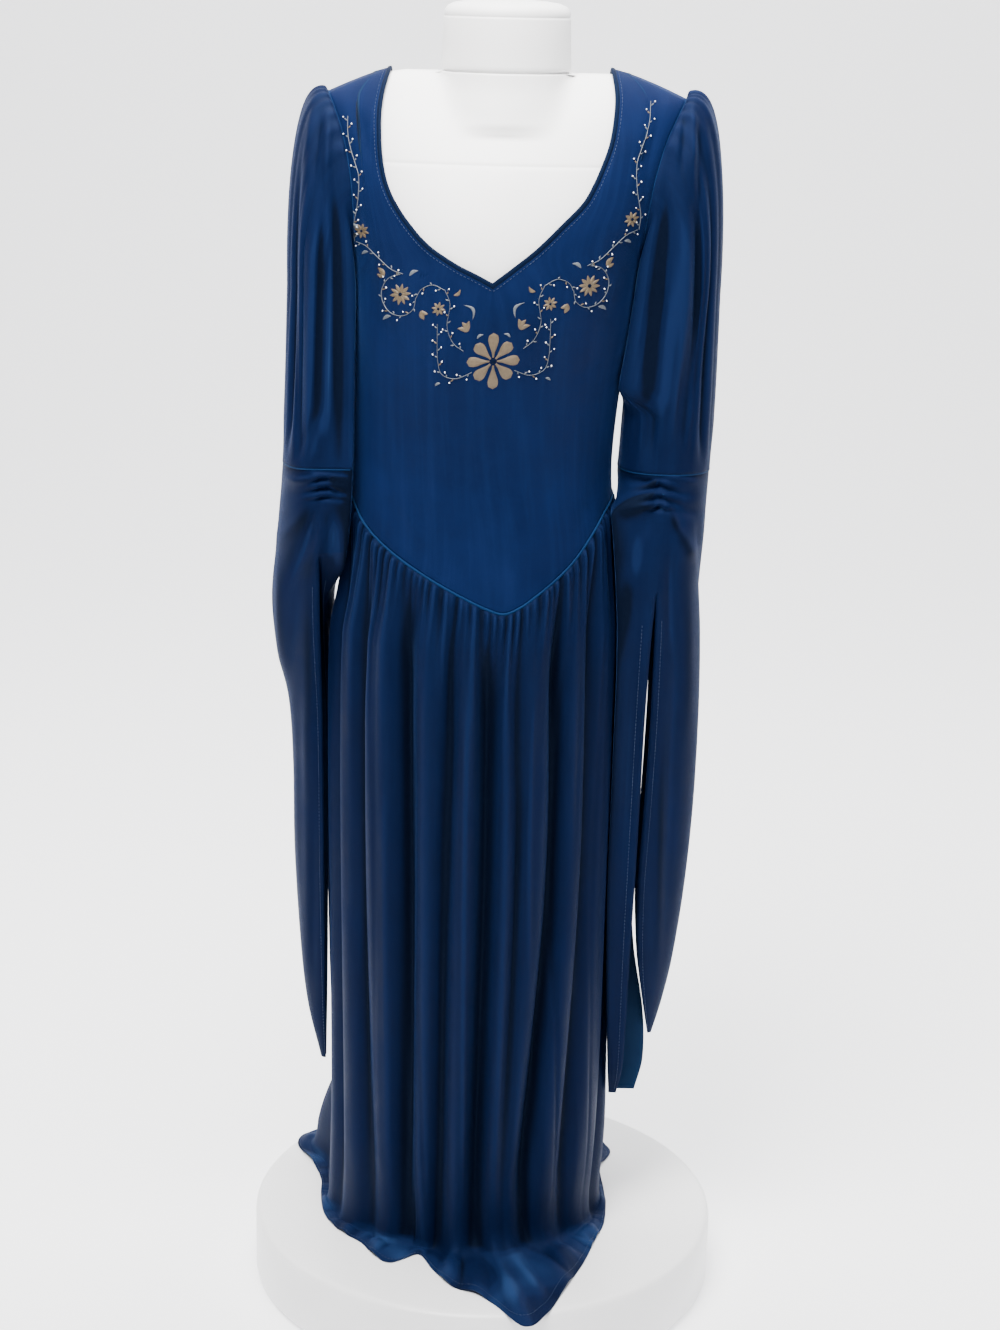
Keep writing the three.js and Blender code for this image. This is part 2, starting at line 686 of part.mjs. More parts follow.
function armFold(angle) {
  let depth = 0;
  for (const fold of ARM_FOLDS) {
    const off = (angle - fold.angle) / fold.width;
    depth += fold.depth * Math.exp(-off * off);
  }
  return depth;
}

// Columns round the sleeve: each armhole chord is divided, finer over the gathered head
function sleeveColumns(side) {
  const ring = armholeRing(side).all;
  const steps = ring.length - 1;
  const columns = [];
  for (let i = 0; i < steps; i += 1) {
    const isHead = i < HEAD_CHORDS || i >= steps - HEAD_CHORDS;
    const isMiddle = i === HEAD_CHORDS || i === steps - HEAD_CHORDS - 1;
    const parts = isHead ? 3 : 1 + Number(isMiddle);
    for (let part = 0; part < parts; part += 1) {
      const t = part / parts;
      columns.push({
        start: ring[i].point.clone().lerp(ring[i + 1].point, t),
        away: ring[i].away.clone().lerp(ring[i + 1].away, t).normalize(),
        angle: ((i + t) / steps) * 360,
        head: isHead,
      });
    }
  }
  return columns;
}

function upperSleeve(side) {
  const rows = side > 0 ? SLEEVE_RIGHT : SLEEVE_LEFT;
  const puff = HEAD_PUFF.find((entry) => entry.side === side);
  const bicep = rows[rows.length - 1].height;
  const columns = sleeveColumns(side);
  const heart = (UNDERARM_HEIGHT + ARMHOLE[ARMHOLE.length - 1].height) / 2;
  const reach = ARMHOLE[ARMHOLE.length - 1].height - heart;
  const grid = [];
  for (const stage of HEAD_STAGES) {
    grid.push(columns.map((column, i) => {
      const a = column.start.clone().addScaledVector(column.away, SEAM_GAP * 1.5);
      const b = sleevePoint(rows, column.angle, bicep);
      b.addScaledVector(sleeveOutward(rows, column.angle), -armFold(column.angle));
      const upward = (a.z - heart) / reach;
      const fullness = clamp((upward + 1) / 2);
      const leave = a.clone();
      leave.x += side * (HEAD_LEAVE + (puff.out - HEAD_LEAVE) * fullness);
      leave.y += HEAD_SPREAD * Math.sin(radians(column.angle)) * fullness;
      leave.z += upward > 0 ? puff.up * upward : UNDERARM_ARCH * column.away.z;
      const arrive = b.clone();
      arrive.x += side * ARM_SWELL * fullness;
      arrive.z += (a.z - b.z) * HEAD_FALL;
      const point = bezier([a, leave, arrive, b], stage);
      if (column.head && stage > 0 && stage < 1) {
        const wave = (i % 2 ? 1 : -1) * HEAD_GATHER * (1 - stage) * smooth(stage * 12);
        const outward = new THREE.Vector3(side * 0.5, Math.sin(radians(column.angle)), Math.max(upward, 0));
        point.addScaledVector(outward.normalize(), wave);
      }
      return point;
    }));
  }
  for (const height of [...ARM_LEVELS, ELBOW_HEIGHT + SEAM_GAP / 2]) {
    const depth = smooth((height - ELBOW_HEIGHT) / ARM_FOLD_END);
    grid.push(columns.map((column) => {
      const point = sleevePoint(rows, column.angle, height);
      return point.addScaledVector(sleeveOutward(rows, column.angle), -armFold(column.angle) * depth);
    }));
  }
  const sheet = newSheet();
  const indices = grid.reverse().map((row) => addRow(sheet, row));
  addStrip(sheet, indices.map((ids) => [...ids, ids[0]]));
  for (const id of indices[0]) addCut(sheet, id, UP);
  indices[indices.length - 1].forEach((id, i) => addCut(sheet, id, columns[i].away));
  return sheet;
}

function bezier([a, b, c, d], t) {
  const s = 1 - t;
  const point = a.clone().multiplyScalar(s * s * s);
  point.addScaledVector(b, 3 * s * s * t);
  point.addScaledVector(c, 3 * s * t * t);
  return point.addScaledVector(d, t * t * t);
}

// Half of a sleeve section as a curved strip from one slit edge to the other
function halfSection(edge, far, reach, depth, back, height, towardsOuter) {
  const row = [];
  for (let c = 0; c <= HALF_COLUMNS; c += 1) {
    const turn = -90 + (180 * c) / HALF_COLUMNS;
    const a = radians(towardsOuter ? turn : -turn);
    const rearward = Math.max(Math.sin(a), 0);
    const start = edge + Math.sign(edge) * reach * rearward;
    const bow = Math.cos(a) ** SLEEVE_SQUARENESS;
    row.push(new THREE.Vector3(start + (far - start) * bow, back + depth * Math.sin(a), height));
  }
  return row;
}

function cuffRow(rows, height) {
  const value = (column) => between(rows, "height", height, column);
  const common = [0, value("depth"), value("back"), height];
  return {
    outer: halfSection(value("slit"), value("outer"), ...common, true),
    inner: halfSection(value("slit"), value("inner"), ...common, false),
  };
}

function lowerSleeve(side) {
  const cuff = [...(side > 0 ? CUFF_RIGHT : CUFF_LEFT)].reverse();
  const tails = side > 0
    ? { outer: TAIL_RIGHT_OUTER, inner: TAIL_RIGHT_INNER }
    : { outer: TAIL_LEFT_OUTER, inner: TAIL_LEFT_INNER };
  const sheet = newSheet();
  const strips = { outer: [], inner: [] };
  for (const name of ["outer", "inner"]) {
    for (const row of tails[name]) {
      const points = halfSection(
        row.edge, row.far, row.reach, row.depth, row.back, row.height, name === "outer",
      );
      strips[name].push(addRow(sheet, points));
    }
  }
  const ruche = [];
  for (let r = 0; r < RUCHE_ROWS; r += 1) ruche.unshift(RUCHE_TOP - RUCHE_STEP * r);
  const heights = [cuff[0].height, ruche[0] - RUCHE_MARGIN, ...ruche, ELBOW_HEIGHT - SEAM_GAP / 2];
  heights.forEach((height, r) => {
    const { outer, inner } = cuffRow(cuff, height);
    if (r >= 2 && r < 2 + RUCHE_ROWS) {
      const wave = r % 2 ? RUCHE_WAVE : -RUCHE_WAVE;
      [outer, inner].forEach((row) => {
        row.forEach((point) => {
          const nearFront = clamp((cuff[0].back - RUCHE_REACH - point.y) / RUCHE_FADE);
          point.y -= wave * nearFront;
        });
      });
    }
    const outerIds = addRow(sheet, outer);
    const innerIds = addRow(sheet, inner.slice(1, -1));
    strips.outer.push(outerIds);
    strips.inner.push([outerIds[outerIds.length - 1], ...innerIds, outerIds[0]]);
  });
  addStrip(sheet, strips.outer);
  addStrip(sheet, strips.inner);
  for (const strip of [strips.outer, strips.inner]) {
    for (const id of strip[strip.length - 1]) addCut(sheet, id, UP);
  }
  return sheet;
}

// Skirt
function foldAngle(fold, height) {
  const rows = [
    { height: 100, angle: fold.low },
    { height: 480, angle: fold.mid },
    { height: 850, angle: fold.top },
  ];
  return between(rows, "height", height, "angle");
}

function foldDepth(angle, height) {
  let depth = 0;
  for (const fold of SKIRT_FOLDS) {
    const off = Math.abs(angle - foldAngle(fold, height));
    const near = Math.min(off, 360 - off) / fold.width;
    depth += fold.depth * Math.exp(-near * near);
  }
  return depth - FOLD_CREST;
}

function hemTurn(point) {
  return THREE.MathUtils.radToDeg(Math.atan2(point.x - HEM_CENTRE, -point.y));
}

function skirtPoint(angle, column, drop, height) {
  const point = bodyPoint(angle, height);
  const fold = foldDepth(angle, height) * smooth((drop + FOLD_LEAD) / FOLD_START) * (drop > 0 ? 1 : 0);
  const gathered = clamp(1 - drop / GATHER_FADE) * clamp(drop / GATHER_START);
  const gather = (column % 2 ? 1 : -1) * GATHER_WAVE * gathered;
  point.addScaledVector(bodyOutward(angle, height), gather - fold);
  const flare = smooth((FLARE_HEIGHT - height) / (FLARE_HEIGHT - FOOT_HEIGHT));
  if (flare > 0) {
    const reach = Math.hypot(point.x - HEM_CENTRE, point.y);
    const foot = between(HEM, "angle", hemTurn(point), "foot") - FOOT_FOLD * foldDepth(angle, height);
    const scale = 1 + (Math.max(foot / reach, FOOT_TAPER) - 1) * flare * flare;
    point.x = HEM_CENTRE + (point.x - HEM_CENTRE) * scale;
    point.y *= scale;
  }
  return point;
}

function floorPoint(angle, share) {
  const start = skirtPoint(angle, 0, 1000, FOOT_HEIGHT);
  const reach = Math.hypot(start.x - HEM_CENTRE, start.y);
  const edge = Math.max(between(HEM, "angle", hemTurn(start), "edge"), reach + SPREAD_LEAST);
  const hump = between(HEM, "angle", hemTurn(start), "hump");
  const scale = (reach + (edge - reach) * share) / reach;
  const x = HEM_CENTRE + (start.x - HEM_CENTRE) * scale;
  const y = start.y * scale;
  const rest = WALL / 2 + FLOOR_CLEARANCE;
  const overhang = Math.max(Math.hypot(x, y) - (BASE_RADIUS - 1), 0);
  const z = rest + hump * Math.sin(Math.PI * share) ** 1.5 - overhang * RIM_DROOP;
  return new THREE.Vector3(x, y, z);
}

function skirtPanel(isFront) {
  const half = (NECK_COLUMNS + SHOULDER_COLUMNS) * SKIRT_SPLIT;
  const seam = (isFront ? -SEAM_GAP : SEAM_GAP) / 2;
  const waist = bodiceRows(isFront)[0];
  const seamRow = [];
  for (let c = 0; c <= 2 * half; c += 1) {
    const i = Math.floor(c / SKIRT_SPLIT);
    const next = waist[Math.min(i + 1, waist.length - 1)];
    const point = waist[i].clone().lerp(next, (c % SKIRT_SPLIT) / SKIRT_SPLIT);
    point.z -= SEAM_GAP * 1.5;
    seamRow.push(point);
  }
  const grid = [seamRow];
  const addGridRow = (pointAt) => {
    const row = [];
    for (let c = -half; c <= half; c += 1) {
      const u = c / half;
      const turn = isFront ? 90 * u + WAIST_POINT_TURN * (1 - u * u) : 180 + 90 * u;
      const point = pointAt(turn > 180 ? turn - 360 : turn, c);
      point.y += seam;
      row.push(point);
    }
    grid.push(row);
  };
  for (const drop of SKIRT_DROPS) {
    addGridRow((angle, c) => skirtPoint(angle, c, drop, waistHeight(angle) - drop));
  }
  for (const height of SKIRT_LEVELS) {
    addGridRow((angle, c) => skirtPoint(angle, c, waistHeight(angle) - height, height));
  }
  for (const share of [0, 0.5, 1]) {
    addGridRow((angle) => {
      if (share > 0) return floorPoint(angle, share);
      return skirtPoint(angle, 0, 1000, FOOT_HEIGHT);
    });
  }
  const sheet = newSheet();
  const rows = grid.reverse().map((row) => addRow(sheet, row));
  addStrip(sheet, rows);
  for (const id of rows[rows.length - 1]) addCut(sheet, id, UP);
  for (const row of rows) {
    addCut(sheet, row[0], BACKWARD);
    addCut(sheet, row[row.length - 1], BACKWARD);
  }
  return sheet;
}

// Neck binding: a bead along both panels' neck edges, just clear of them
function neckBinding() {
  const [front, back] = [true, false].map((isFront) => {
    const { sheet, rows } = bodiceSheet(isFront);
    const top = rows[rows.length - 1];
    return edgePoints(sheet, top.slice(SHOULDER_COLUMNS, top.length - SHOULDER_COLUMNS), UP);
  });
  for (const [end, start] of [[front[front.length - 1], back[0]], [back.pop(), front[0]]]) {
    start.away.add(end.away).normalize();
    start.mitre = 1 / start.away.dot(end.away);
    start.normal.add(end.normal).normalize();
    start.point.add(end.point).multiplyScalar(0.5);
  }
  front.pop();
  const loop = [...front, ...back];
  const points = [];
  for (const { point, away, normal, mitre } of loop) {
    const centre = point.clone().addScaledVector(away, (BINDING_HALF_WIDTH + BINDING_GAP) * mitre);
    for (let s = 0; s < BINDING_SIDES; s += 1) {
      const turn = (2 * Math.PI * s) / BINDING_SIDES;
      const corner = centre.clone().addScaledVector(away, BINDING_HALF_WIDTH * mitre * Math.cos(turn));
      points.push(corner.addScaledVector(normal, BINDING_HALF_THICKNESS * Math.sin(turn)));
    }
  }
  const faces = [];
  for (let i = 0; i < loop.length; i += 1) {
    const j = (i + 1) % loop.length;
    for (let s = 0; s < BINDING_SIDES; s += 1) {
      const t = (s + 1) % BINDING_SIDES;
      const [a, b] = [i * BINDING_SIDES + s, j * BINDING_SIDES + s];
      const [c, d] = [j * BINDING_SIDES + t, i * BINDING_SIDES + t];
      faces.push([a, c, b], [a, d, c]);
    }
  }
  return solid(points, faces);
}

// Dress form: torso rings, with the round neck standing out of them
function neckDepth(x, height) {
  if (height < NECK_ROUND[0].height) return 0;
  const radius = between(NECK_ROUND, "height", height, "radius");
  return NECK_FLATNESS * Math.sqrt(Math.max(radius * radius - (x - NECK_CENTRE_X) ** 2, 0));
}

function formRing(height) {
  const isNeck = height > FORM_RINGS[FORM_RINGS.length - 1].height;
  const row = [];
  for (let c = 0; c < FORM_COLUMNS; c += 1) {
    const a = (2 * Math.PI * c) / FORM_COLUMNS;
    const side = Math.cos(a) >= 0 ? "front" : "back";
    const sign = side === "front" ? -1 : 1;
    if (isNeck) {
      const radius = between(NECK_ROUND, "height", height, "radius");
      const x = NECK_CENTRE_X + radius * Math.sin(a);
      row.push(new THREE.Vector3(x, NECK_CENTRE_Y - radius * NECK_FLATNESS * Math.cos(a), height));
      continue;
    }
    const reach = between(FORM_RINGS, "height", height, "half") * Math.sin(a);
    const x = between(GIRTHS, "height", height, "middle") + reach;
    const own = between(FORM_RINGS, "height", height, side) * Math.abs(Math.cos(a)) ** GIRTH_SQUARENESS;
    const torso = own * chestFullness(reach, height, FORM_RIDGE_INSET) + sign * shoulderSetback(height);
    const neck = neckDepth(x, height) + sign * NECK_CENTRE_Y;
    row.push(new THREE.Vector3(x, sign * Math.max(torso, neck), height));
  }
  return row;
}

function dressForm() {
  const heights = FORM_RINGS.map((ring) => ring.height);
  const shoulders = heights[heights.length - 1];
  heights.push(...NECK_ROUND.map((ring) => ring.height).filter((height) => height > shoulders));
  const points = heights.flatMap(formRing);
  const faces = [];
  for (let r = 0; r + 1 < heights.length; r += 1) {
    for (let c = 0; c < FORM_COLUMNS; c += 1) {
      const next = (c + 1) % FORM_COLUMNS;
      const [a, b] = [r * FORM_COLUMNS + c, r * FORM_COLUMNS + next];
      faces.push([a, b, b + FORM_COLUMNS], [a, b + FORM_COLUMNS, a + FORM_COLUMNS]);
    }
  }
  const top = (heights.length - 1) * FORM_COLUMNS;
  for (let c = 1; c + 1 < FORM_COLUMNS; c += 1) {
    faces.push([0, c + 1, c], [top, top + c, top + c + 1]);
  }
  return solid(points, faces);
}

function stand() {
  const edge = BASE_RADIUS - BASE_ROUND;
  const profile = [new THREE.Vector2(0, 0), new THREE.Vector2(edge, 0)];
  for (const turn of [-60, -30, 0]) {
    const a = radians(turn);
    profile.push(new THREE.Vector2(edge + BASE_ROUND * Math.cos(a), BASE_ROUND + BASE_ROUND * Math.sin(a)));
  }
  for (const turn of [0, 30, 60, 90]) {
    const a = radians(turn);
    const y = BASE_HEIGHT - BASE_ROUND + BASE_ROUND * Math.sin(a);
    profile.push(new THREE.Vector2(edge + BASE_ROUND * Math.cos(a), y));
  }
  profile.push(new THREE.Vector2(0, BASE_HEIGHT));
  return new THREE.LatheGeometry(profile, BASE_SEGMENTS).rotateX(Math.PI / 2);
}

function pole() {
  const low = BASE_HEIGHT + SEAM_GAP;
  const high = BASE_HEIGHT + FORM_RINGS[0].height - SEAM_GAP;
  const geometry = new THREE.CylinderGeometry(POLE_RADIUS, POLE_RADIUS, high - low, POLE_SEGMENTS);
  geometry.rotateX(Math.PI / 2);
  return geometry.translate(POLE_X, 0, (low + high) / 2);
}

const gown = new THREE.Group();

function addPart(name, geometry, look) {
  const mesh = new THREE.Mesh(geometry, new THREE.MeshStandardMaterial(look));
  mesh.name = name;
  gown.add(mesh);
}

addPart("stand_base", stand(), WHITE_SHELL);
addPart("stand_pole", pole(), WHITE_METAL);
addPart("dress_form", dressForm(), WHITE_SHELL);
addPart("bodice_front", thicken(bodicePanel(true)), VELVET);
addPart("bodice_back", thicken(bodicePanel(false)), VELVET);
addPart("neck_binding", neckBinding(), BINDING);
addPart("skirt_front", thicken(skirtPanel(true)), VELVET);
addPart("skirt_back", thicken(skirtPanel(false)), VELVET);
addPart("sleeve_upper_left", thicken(upperSleeve(-1), true), VELVET);
addPart("sleeve_upper_right", thicken(upperSleeve(1)), VELVET);
addPart("sleeve_lower_left", thicken(lowerSleeve(-1), true), VELVET);
addPart("sleeve_lower_right", thicken(lowerSleeve(1)), VELVET);

export default gown;
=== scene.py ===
# Medieval gown of blue velvet on a white limbless dress form with a round stand.
# Blender objects are in metres. Tables are in millimetres, with heights above the stand's top face.
import math
import bmesh
import bpy
import numpy as np
from mathutils import Matrix, Vector
from mathutils.bvhtree import BVHTree


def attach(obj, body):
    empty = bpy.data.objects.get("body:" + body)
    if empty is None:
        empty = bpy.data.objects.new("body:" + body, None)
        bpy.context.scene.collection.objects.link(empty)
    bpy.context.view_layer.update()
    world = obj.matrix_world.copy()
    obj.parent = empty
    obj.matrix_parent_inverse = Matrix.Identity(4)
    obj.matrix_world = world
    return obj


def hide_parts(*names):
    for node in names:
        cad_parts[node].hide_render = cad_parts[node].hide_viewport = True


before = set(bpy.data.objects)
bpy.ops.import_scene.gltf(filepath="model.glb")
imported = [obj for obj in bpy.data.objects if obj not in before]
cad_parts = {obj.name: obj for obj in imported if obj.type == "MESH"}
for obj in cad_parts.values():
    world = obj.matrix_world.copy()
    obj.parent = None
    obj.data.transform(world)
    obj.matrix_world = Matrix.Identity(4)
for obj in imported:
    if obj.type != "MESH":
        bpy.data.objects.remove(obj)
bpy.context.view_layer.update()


# Camera. It stands in front of the gown, a little above its shoulders, and looks slightly down.
CAMERA_PLACE = Vector((0.006, -2.85, 1.64))
CAMERA_PITCH = math.radians(16.1)
CAMERA_ROLL = math.radians(1.36)
CAMERA_LENS = 65.1
camera_data = bpy.data.cameras.new("camera")
camera_data.lens = CAMERA_LENS
camera = bpy.data.objects.new("camera", camera_data)
bpy.context.scene.collection.objects.link(camera)
forward = Vector((0, math.cos(CAMERA_PITCH), -math.sin(CAMERA_PITCH)))
level = Vector((1, 0, 0))
above = level.cross(forward)
sideways = level * math.cos(CAMERA_ROLL) + above * math.sin(CAMERA_ROLL)
upward = above * math.cos(CAMERA_ROLL) - level * math.sin(CAMERA_ROLL)
turned = Matrix((sideways, upward, -forward)).transposed().to_4x4()
camera.matrix_world = Matrix.Translation(CAMERA_PLACE) @ turned
bpy.context.scene.camera = camera


# Floor and light. Pale studio paper that sweeps up behind the stand, a soft key light above the camera, a
# weak fill, two rims from behind, a soft lamp over the shoulders and one on the paper.
def node_at(tree, kind, **values):
    node = tree.nodes.new(kind)
    for name, value in values.items():
        if name in node.inputs:
            node.inputs[name].default_value = value
        else:
            setattr(node, name, value)
    return node


def new_material(name):
    material = bpy.data.materials.new(name)
    material.use_nodes = True
    tree = material.node_tree
    return material, tree, tree.nodes["Principled BSDF"]


def add_object(name, mesh):
    piece = bpy.data.objects.new(name, mesh)
    bpy.context.scene.collection.objects.link(piece)
    return piece


def add_light(name, place, target, size, power, colour):
    lamp = bpy.data.lights.new(name, "AREA")
    lamp.shape = "SQUARE"
    lamp.size = size
    lamp.energy = power
    lamp.color = colour
    holder = bpy.data.objects.new(name, lamp)
    bpy.context.scene.collection.objects.link(holder)
    holder.location = place
    holder.rotation_euler = (Vector(target) - Vector(place)).to_track_quat("-Z", "Y").to_euler()


FLOOR_HALF = 14.0
SWEEP_START = 3.4
SWEEP_RADIUS = 3.0
SWEEP_TOP = 10.0
SWEEP_STEPS = 12
sweep_profile = [(-FLOOR_HALF, 0.0), (SWEEP_START, 0.0)]
for step in range(1, SWEEP_STEPS + 1):
    lean = math.pi / 2 * step / SWEEP_STEPS
    sweep_profile.append((SWEEP_START + SWEEP_RADIUS * math.sin(lean), SWEEP_RADIUS * (1 - math.cos(lean))))
sweep_profile.append((SWEEP_START + SWEEP_RADIUS, SWEEP_TOP))
floor_mesh = bpy.data.meshes.new("studio_sweep")
floor_corners = [(x, y, z) for y, z in sweep_profile for x in (-FLOOR_HALF, FLOOR_HALF)]
floor_faces = [(2 * i, 2 * i + 1, 2 * i + 3, 2 * i + 2) for i in range(len(sweep_profile) - 1)]
floor_mesh.from_pydata(floor_corners, [], floor_faces)
floor_mesh.shade_smooth()
floor_piece = add_object("studio_sweep", floor_mesh)
floor_paint, _, floor_shader = new_material("pale_paper")
floor_shader.inputs["Base Color"].default_value = (0.88, 0.88, 0.89, 1)
floor_shader.inputs["Roughness"].default_value = 0.8
floor_shader.inputs["Emission Color"].default_value = (1.0, 1.0, 1.02, 1)
floor_shader.inputs["Emission Strength"].default_value = 0.92
floor_mesh.materials.append(floor_paint)
add_light("key", (-0.6, -1.35, 3.25), (0, 0, 1.1), 1.2, 200, (1.0, 0.985, 0.965))
add_light("fill", (2.6, -2.6, 1.9), (0, 0, 1.2), 2.0, 22, (0.94, 0.97, 1.0))
add_light("rim_left", (-2.2, 1.4, 2.4), (0, 0, 1.0), 1.2, 34, (1.0, 1.0, 1.0))
add_light("rim_right", (2.2, 1.4, 2.4), (0, 0, 1.0), 1.2, 34, (1.0, 1.0, 1.0))
add_light("shoulders", (0.1, -0.5, 2.75), (0, 0, 1.4), 0.7, 50, (1.0, 1.0, 1.0))
add_light("paper", (0, 1.6, 5.2), (0, 4.5, 0.6), 3.5, 420, (1.0, 1.0, 1.0))
world = bpy.data.worlds.new("studio")
world.use_nodes = True
world.node_tree.nodes["Background"].inputs["Color"].default_value = (0.93, 0.95, 1.0, 1)
world.node_tree.nodes["Background"].inputs["Strength"].default_value = 0.24
bpy.context.scene.world = world


# Stand. A low round drum of white moulded plastic with a rounded rim, and a painted steel pole that
# stands in its middle and carries the form.
STAND_TOP = 0.09
STAND_PROFILE = [
    # radius, height above the floor
    (0, 0.0), (282, 0.0), (288, 0.6), (293, 3.0), (296, 6.4), (297, 10), (297, 80),
    (296.2, 84.4), (293.9, 87.6), (290, 89.4), (285, 90), (270, 90), (200, 90), (100, 90), (0, 90),
]


def quads_of(index):
    """Corner numbers of the quads between the neighbouring points of a grid."""
    return np.stack([index[:-1, :-1], index[:-1, 1:], index[1:, 1:], index[1:, :-1]], axis=-1).reshape(-1, 4)


def mesh_of(name, points, quads):
    mesh = bpy.data.meshes.new(name)
    mesh.from_pydata(points.reshape(-1, 3).tolist(), [], quads.tolist())
    mesh.shade_smooth()
    return mesh


def grid_mesh(name, points, around=False, flip=False):
    """Mesh of quads through rows of points, closed round its columns if asked."""
    index = np.arange(points.shape[0] * points.shape[1]).reshape(points.shape[:2])
    if around:
        index = np.concatenate([index, index[:, :1]], axis=1)
    quads = quads_of(index)
    return mesh_of(name, points, quads[:, ::-1] if flip else quads)


def weld(mesh, distance=0.00002):
    """Joins points that lie on each other, as at a pole or a seam of the mesh."""
    work = bmesh.new()
    work.from_mesh(mesh)
    bmesh.ops.remove_doubles(work, verts=work.verts, dist=distance)
    bmesh.ops.dissolve_degenerate(work, edges=work.edges, dist=distance)
    work.to_mesh(mesh)
    work.free()


def revolve(profile, segments):
    """Grid of points of a profile of radius and height turned about the upright axis."""
    turn = np.linspace(0, 2 * math.pi, segments, endpoint=False)
    radius = np.array([row[0] for row in profile])[:, None]
    height = np.array([row[1] for row in profile])[:, None] + 0 * turn
    return np.stack([radius * np.sin(turn), 0 - radius * np.cos(turn), height], axis=-1) / 1000


def shell_material(name, colour, roughness, speck):
    """Smooth white moulding: a faint cloudy tone and a very fine orange-peel surface."""
    material, tree, shader = new_material(name)
    links = tree.links
    place = node_at(tree, "ShaderNodeTexCoord")
    cloud = node_at(tree, "ShaderNodeTexNoise", Scale=6.0, Detail=3.0)
    peel = node_at(tree, "ShaderNodeTexNoise", Scale=speck, Detail=2.0)
    links.new(place.outputs["Object"], cloud.inputs["Vector"])
    links.new(place.outputs["Object"], peel.inputs["Vector"])
    ramp = tree.nodes.new("ShaderNodeValToRGB")
    ramp.color_ramp.elements[0].position = 0.3
    ramp.color_ramp.elements[1].position = 0.7
    ramp.color_ramp.elements[0].color = (*[channel * 0.955 for channel in colour], 1)
    ramp.color_ramp.elements[1].color = (*colour, 1)
    links.new(cloud.outputs["Fac"], ramp.inputs["Fac"])
    links.new(ramp.outputs["Color"], shader.inputs["Base Color"])
    bump = node_at(tree, "ShaderNodeBump", Strength=0.08, Distance=0.0005)
    links.new(peel.outputs["Fac"], bump.inputs["Height"])
    links.new(bump.outputs["Normal"], shader.inputs["Normal"])
    shader.inputs["Roughness"].default_value = roughness
    return material


drum = grid_mesh("stand_drum", revolve(STAND_PROFILE, 160), around=True)
weld(drum)
drum_piece = add_object("stand_drum", drum)
drum.materials.append(shell_material("white_moulding", (0.86, 0.86, 0.865), 0.34, 900.0))
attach(drum_piece, "root")
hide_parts("stand_base")
pole_paint = shell_material("white_pole_paint", (0.84, 0.84, 0.84), 0.3, 1400.0)
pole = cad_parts["stand_pole"]
for pole_slot in pole.material_slots:
    pole_slot.material = pole_paint


# Dress form. A smooth white moulded torso in two halves with a fine joint line across the chest, and a
# round neck block with a slightly domed cap set on it. The gown hangs from its shoulders.
GIRTHS = [
    # height, middle, half width, depth in front, depth behind
    (0, -20, 178, 160, 172), (160, -22, 175, 160, 162), (400, -25, 175, 156, 150),
    (640, -26, 177, 150, 138), (780, -25, 176, 141, 128), (830, -22, 170, 129, 116),
    (900, -20, 162, 116, 100), (975, -22, 156, 108, 92), (1060, -19, 158, 114, 96),
    (1140, -13, 163, 128, 102), (1200, -9, 167, 133, 106), (1250, -7, 174, 127, 110),
    (1300, -5, 188, 114, 111), (1355, -3, 206, 98, 107), (1400, -1, 224, 86, 101),
    (1450, -1, 240, 74, 94),
]
MIDDLE, HALF, FRONT, BACK = 1, 2, 3, 4
GIRTH_SQUARENESS = 0.9
CHEST_HEIGHT = 1250
SHOULDER_HEIGHT = 1444
SHOULDER_DROP = 32
SHOULDER_LEVEL = 118
SHOULDER_REACH = 207
SHOULDER_SLOPE = 1.3
SHOULDER_SETBACK = 8
SHOULDER_ROUND = 2.6
FORM_RIDGE_INSET = 2.6
FORM_RINGS = [
    # height, half width, depth in front, depth behind
    (762, 84, 60, 56), (766, 104, 76, 70), (780, 122, 90, 82), (810, 138, 100, 92),
    (850, 146, 104, 90), (900, 152, 106, 88), (975, 151, 103, 86), (1060, 153, 109, 91),
    (1140, 158, 123, 97), (1200, 161, 127, 101), (1260, 163, 119, 104), (1320, 165, 105, 104),
    (1370, 169, 90, 98), (1400, 172, 82, 94), (1415, 172, 78, 90), (1424, 166, 76, 88),
    (1430, 156, 74, 86), (1435, 138, 72, 84), (1438, 118, 70, 80),
]
NECK_CENTRE = (-3, 6)
NECK_ROUND = [(1372, 92), (1400, 84), (1420, 78), (1438, 75)]
NECK_FLATNESS = 0.88
NECK_BLOCK = [
    # radius, height of the neck block, with the shadow line under it and its domed cap
    (72.0, 1436), (72.4, 1440.2), (74.6, 1440.8), (75.4, 1442.2), (75.2, 1446), (74.0, 1470),
    (73.4, 1497), (73.0, 1499), (72.0, 1499.6), (72.4, 1500.4), (72.8, 1503), (71.6, 1507.4),
    (68.0, 1511.6), (60.0, 1515.0), (44.0, 1517.4), (24.0, 1518.4), (0.0, 1518.8),
]
CHEST_JOINT = 1338
JOINT_DEPTH = 0.7
JOINT_WIDTH = 1.6
FORM_COLUMNS = 128
FORM_CLEARANCE = 4.0
FORM_SHOULDER = 166
FOLLOW_EDGE = 26
FOLLOW_START = 1180
FOLLOW_RISE = 60
NECK_BLEND = 10.0


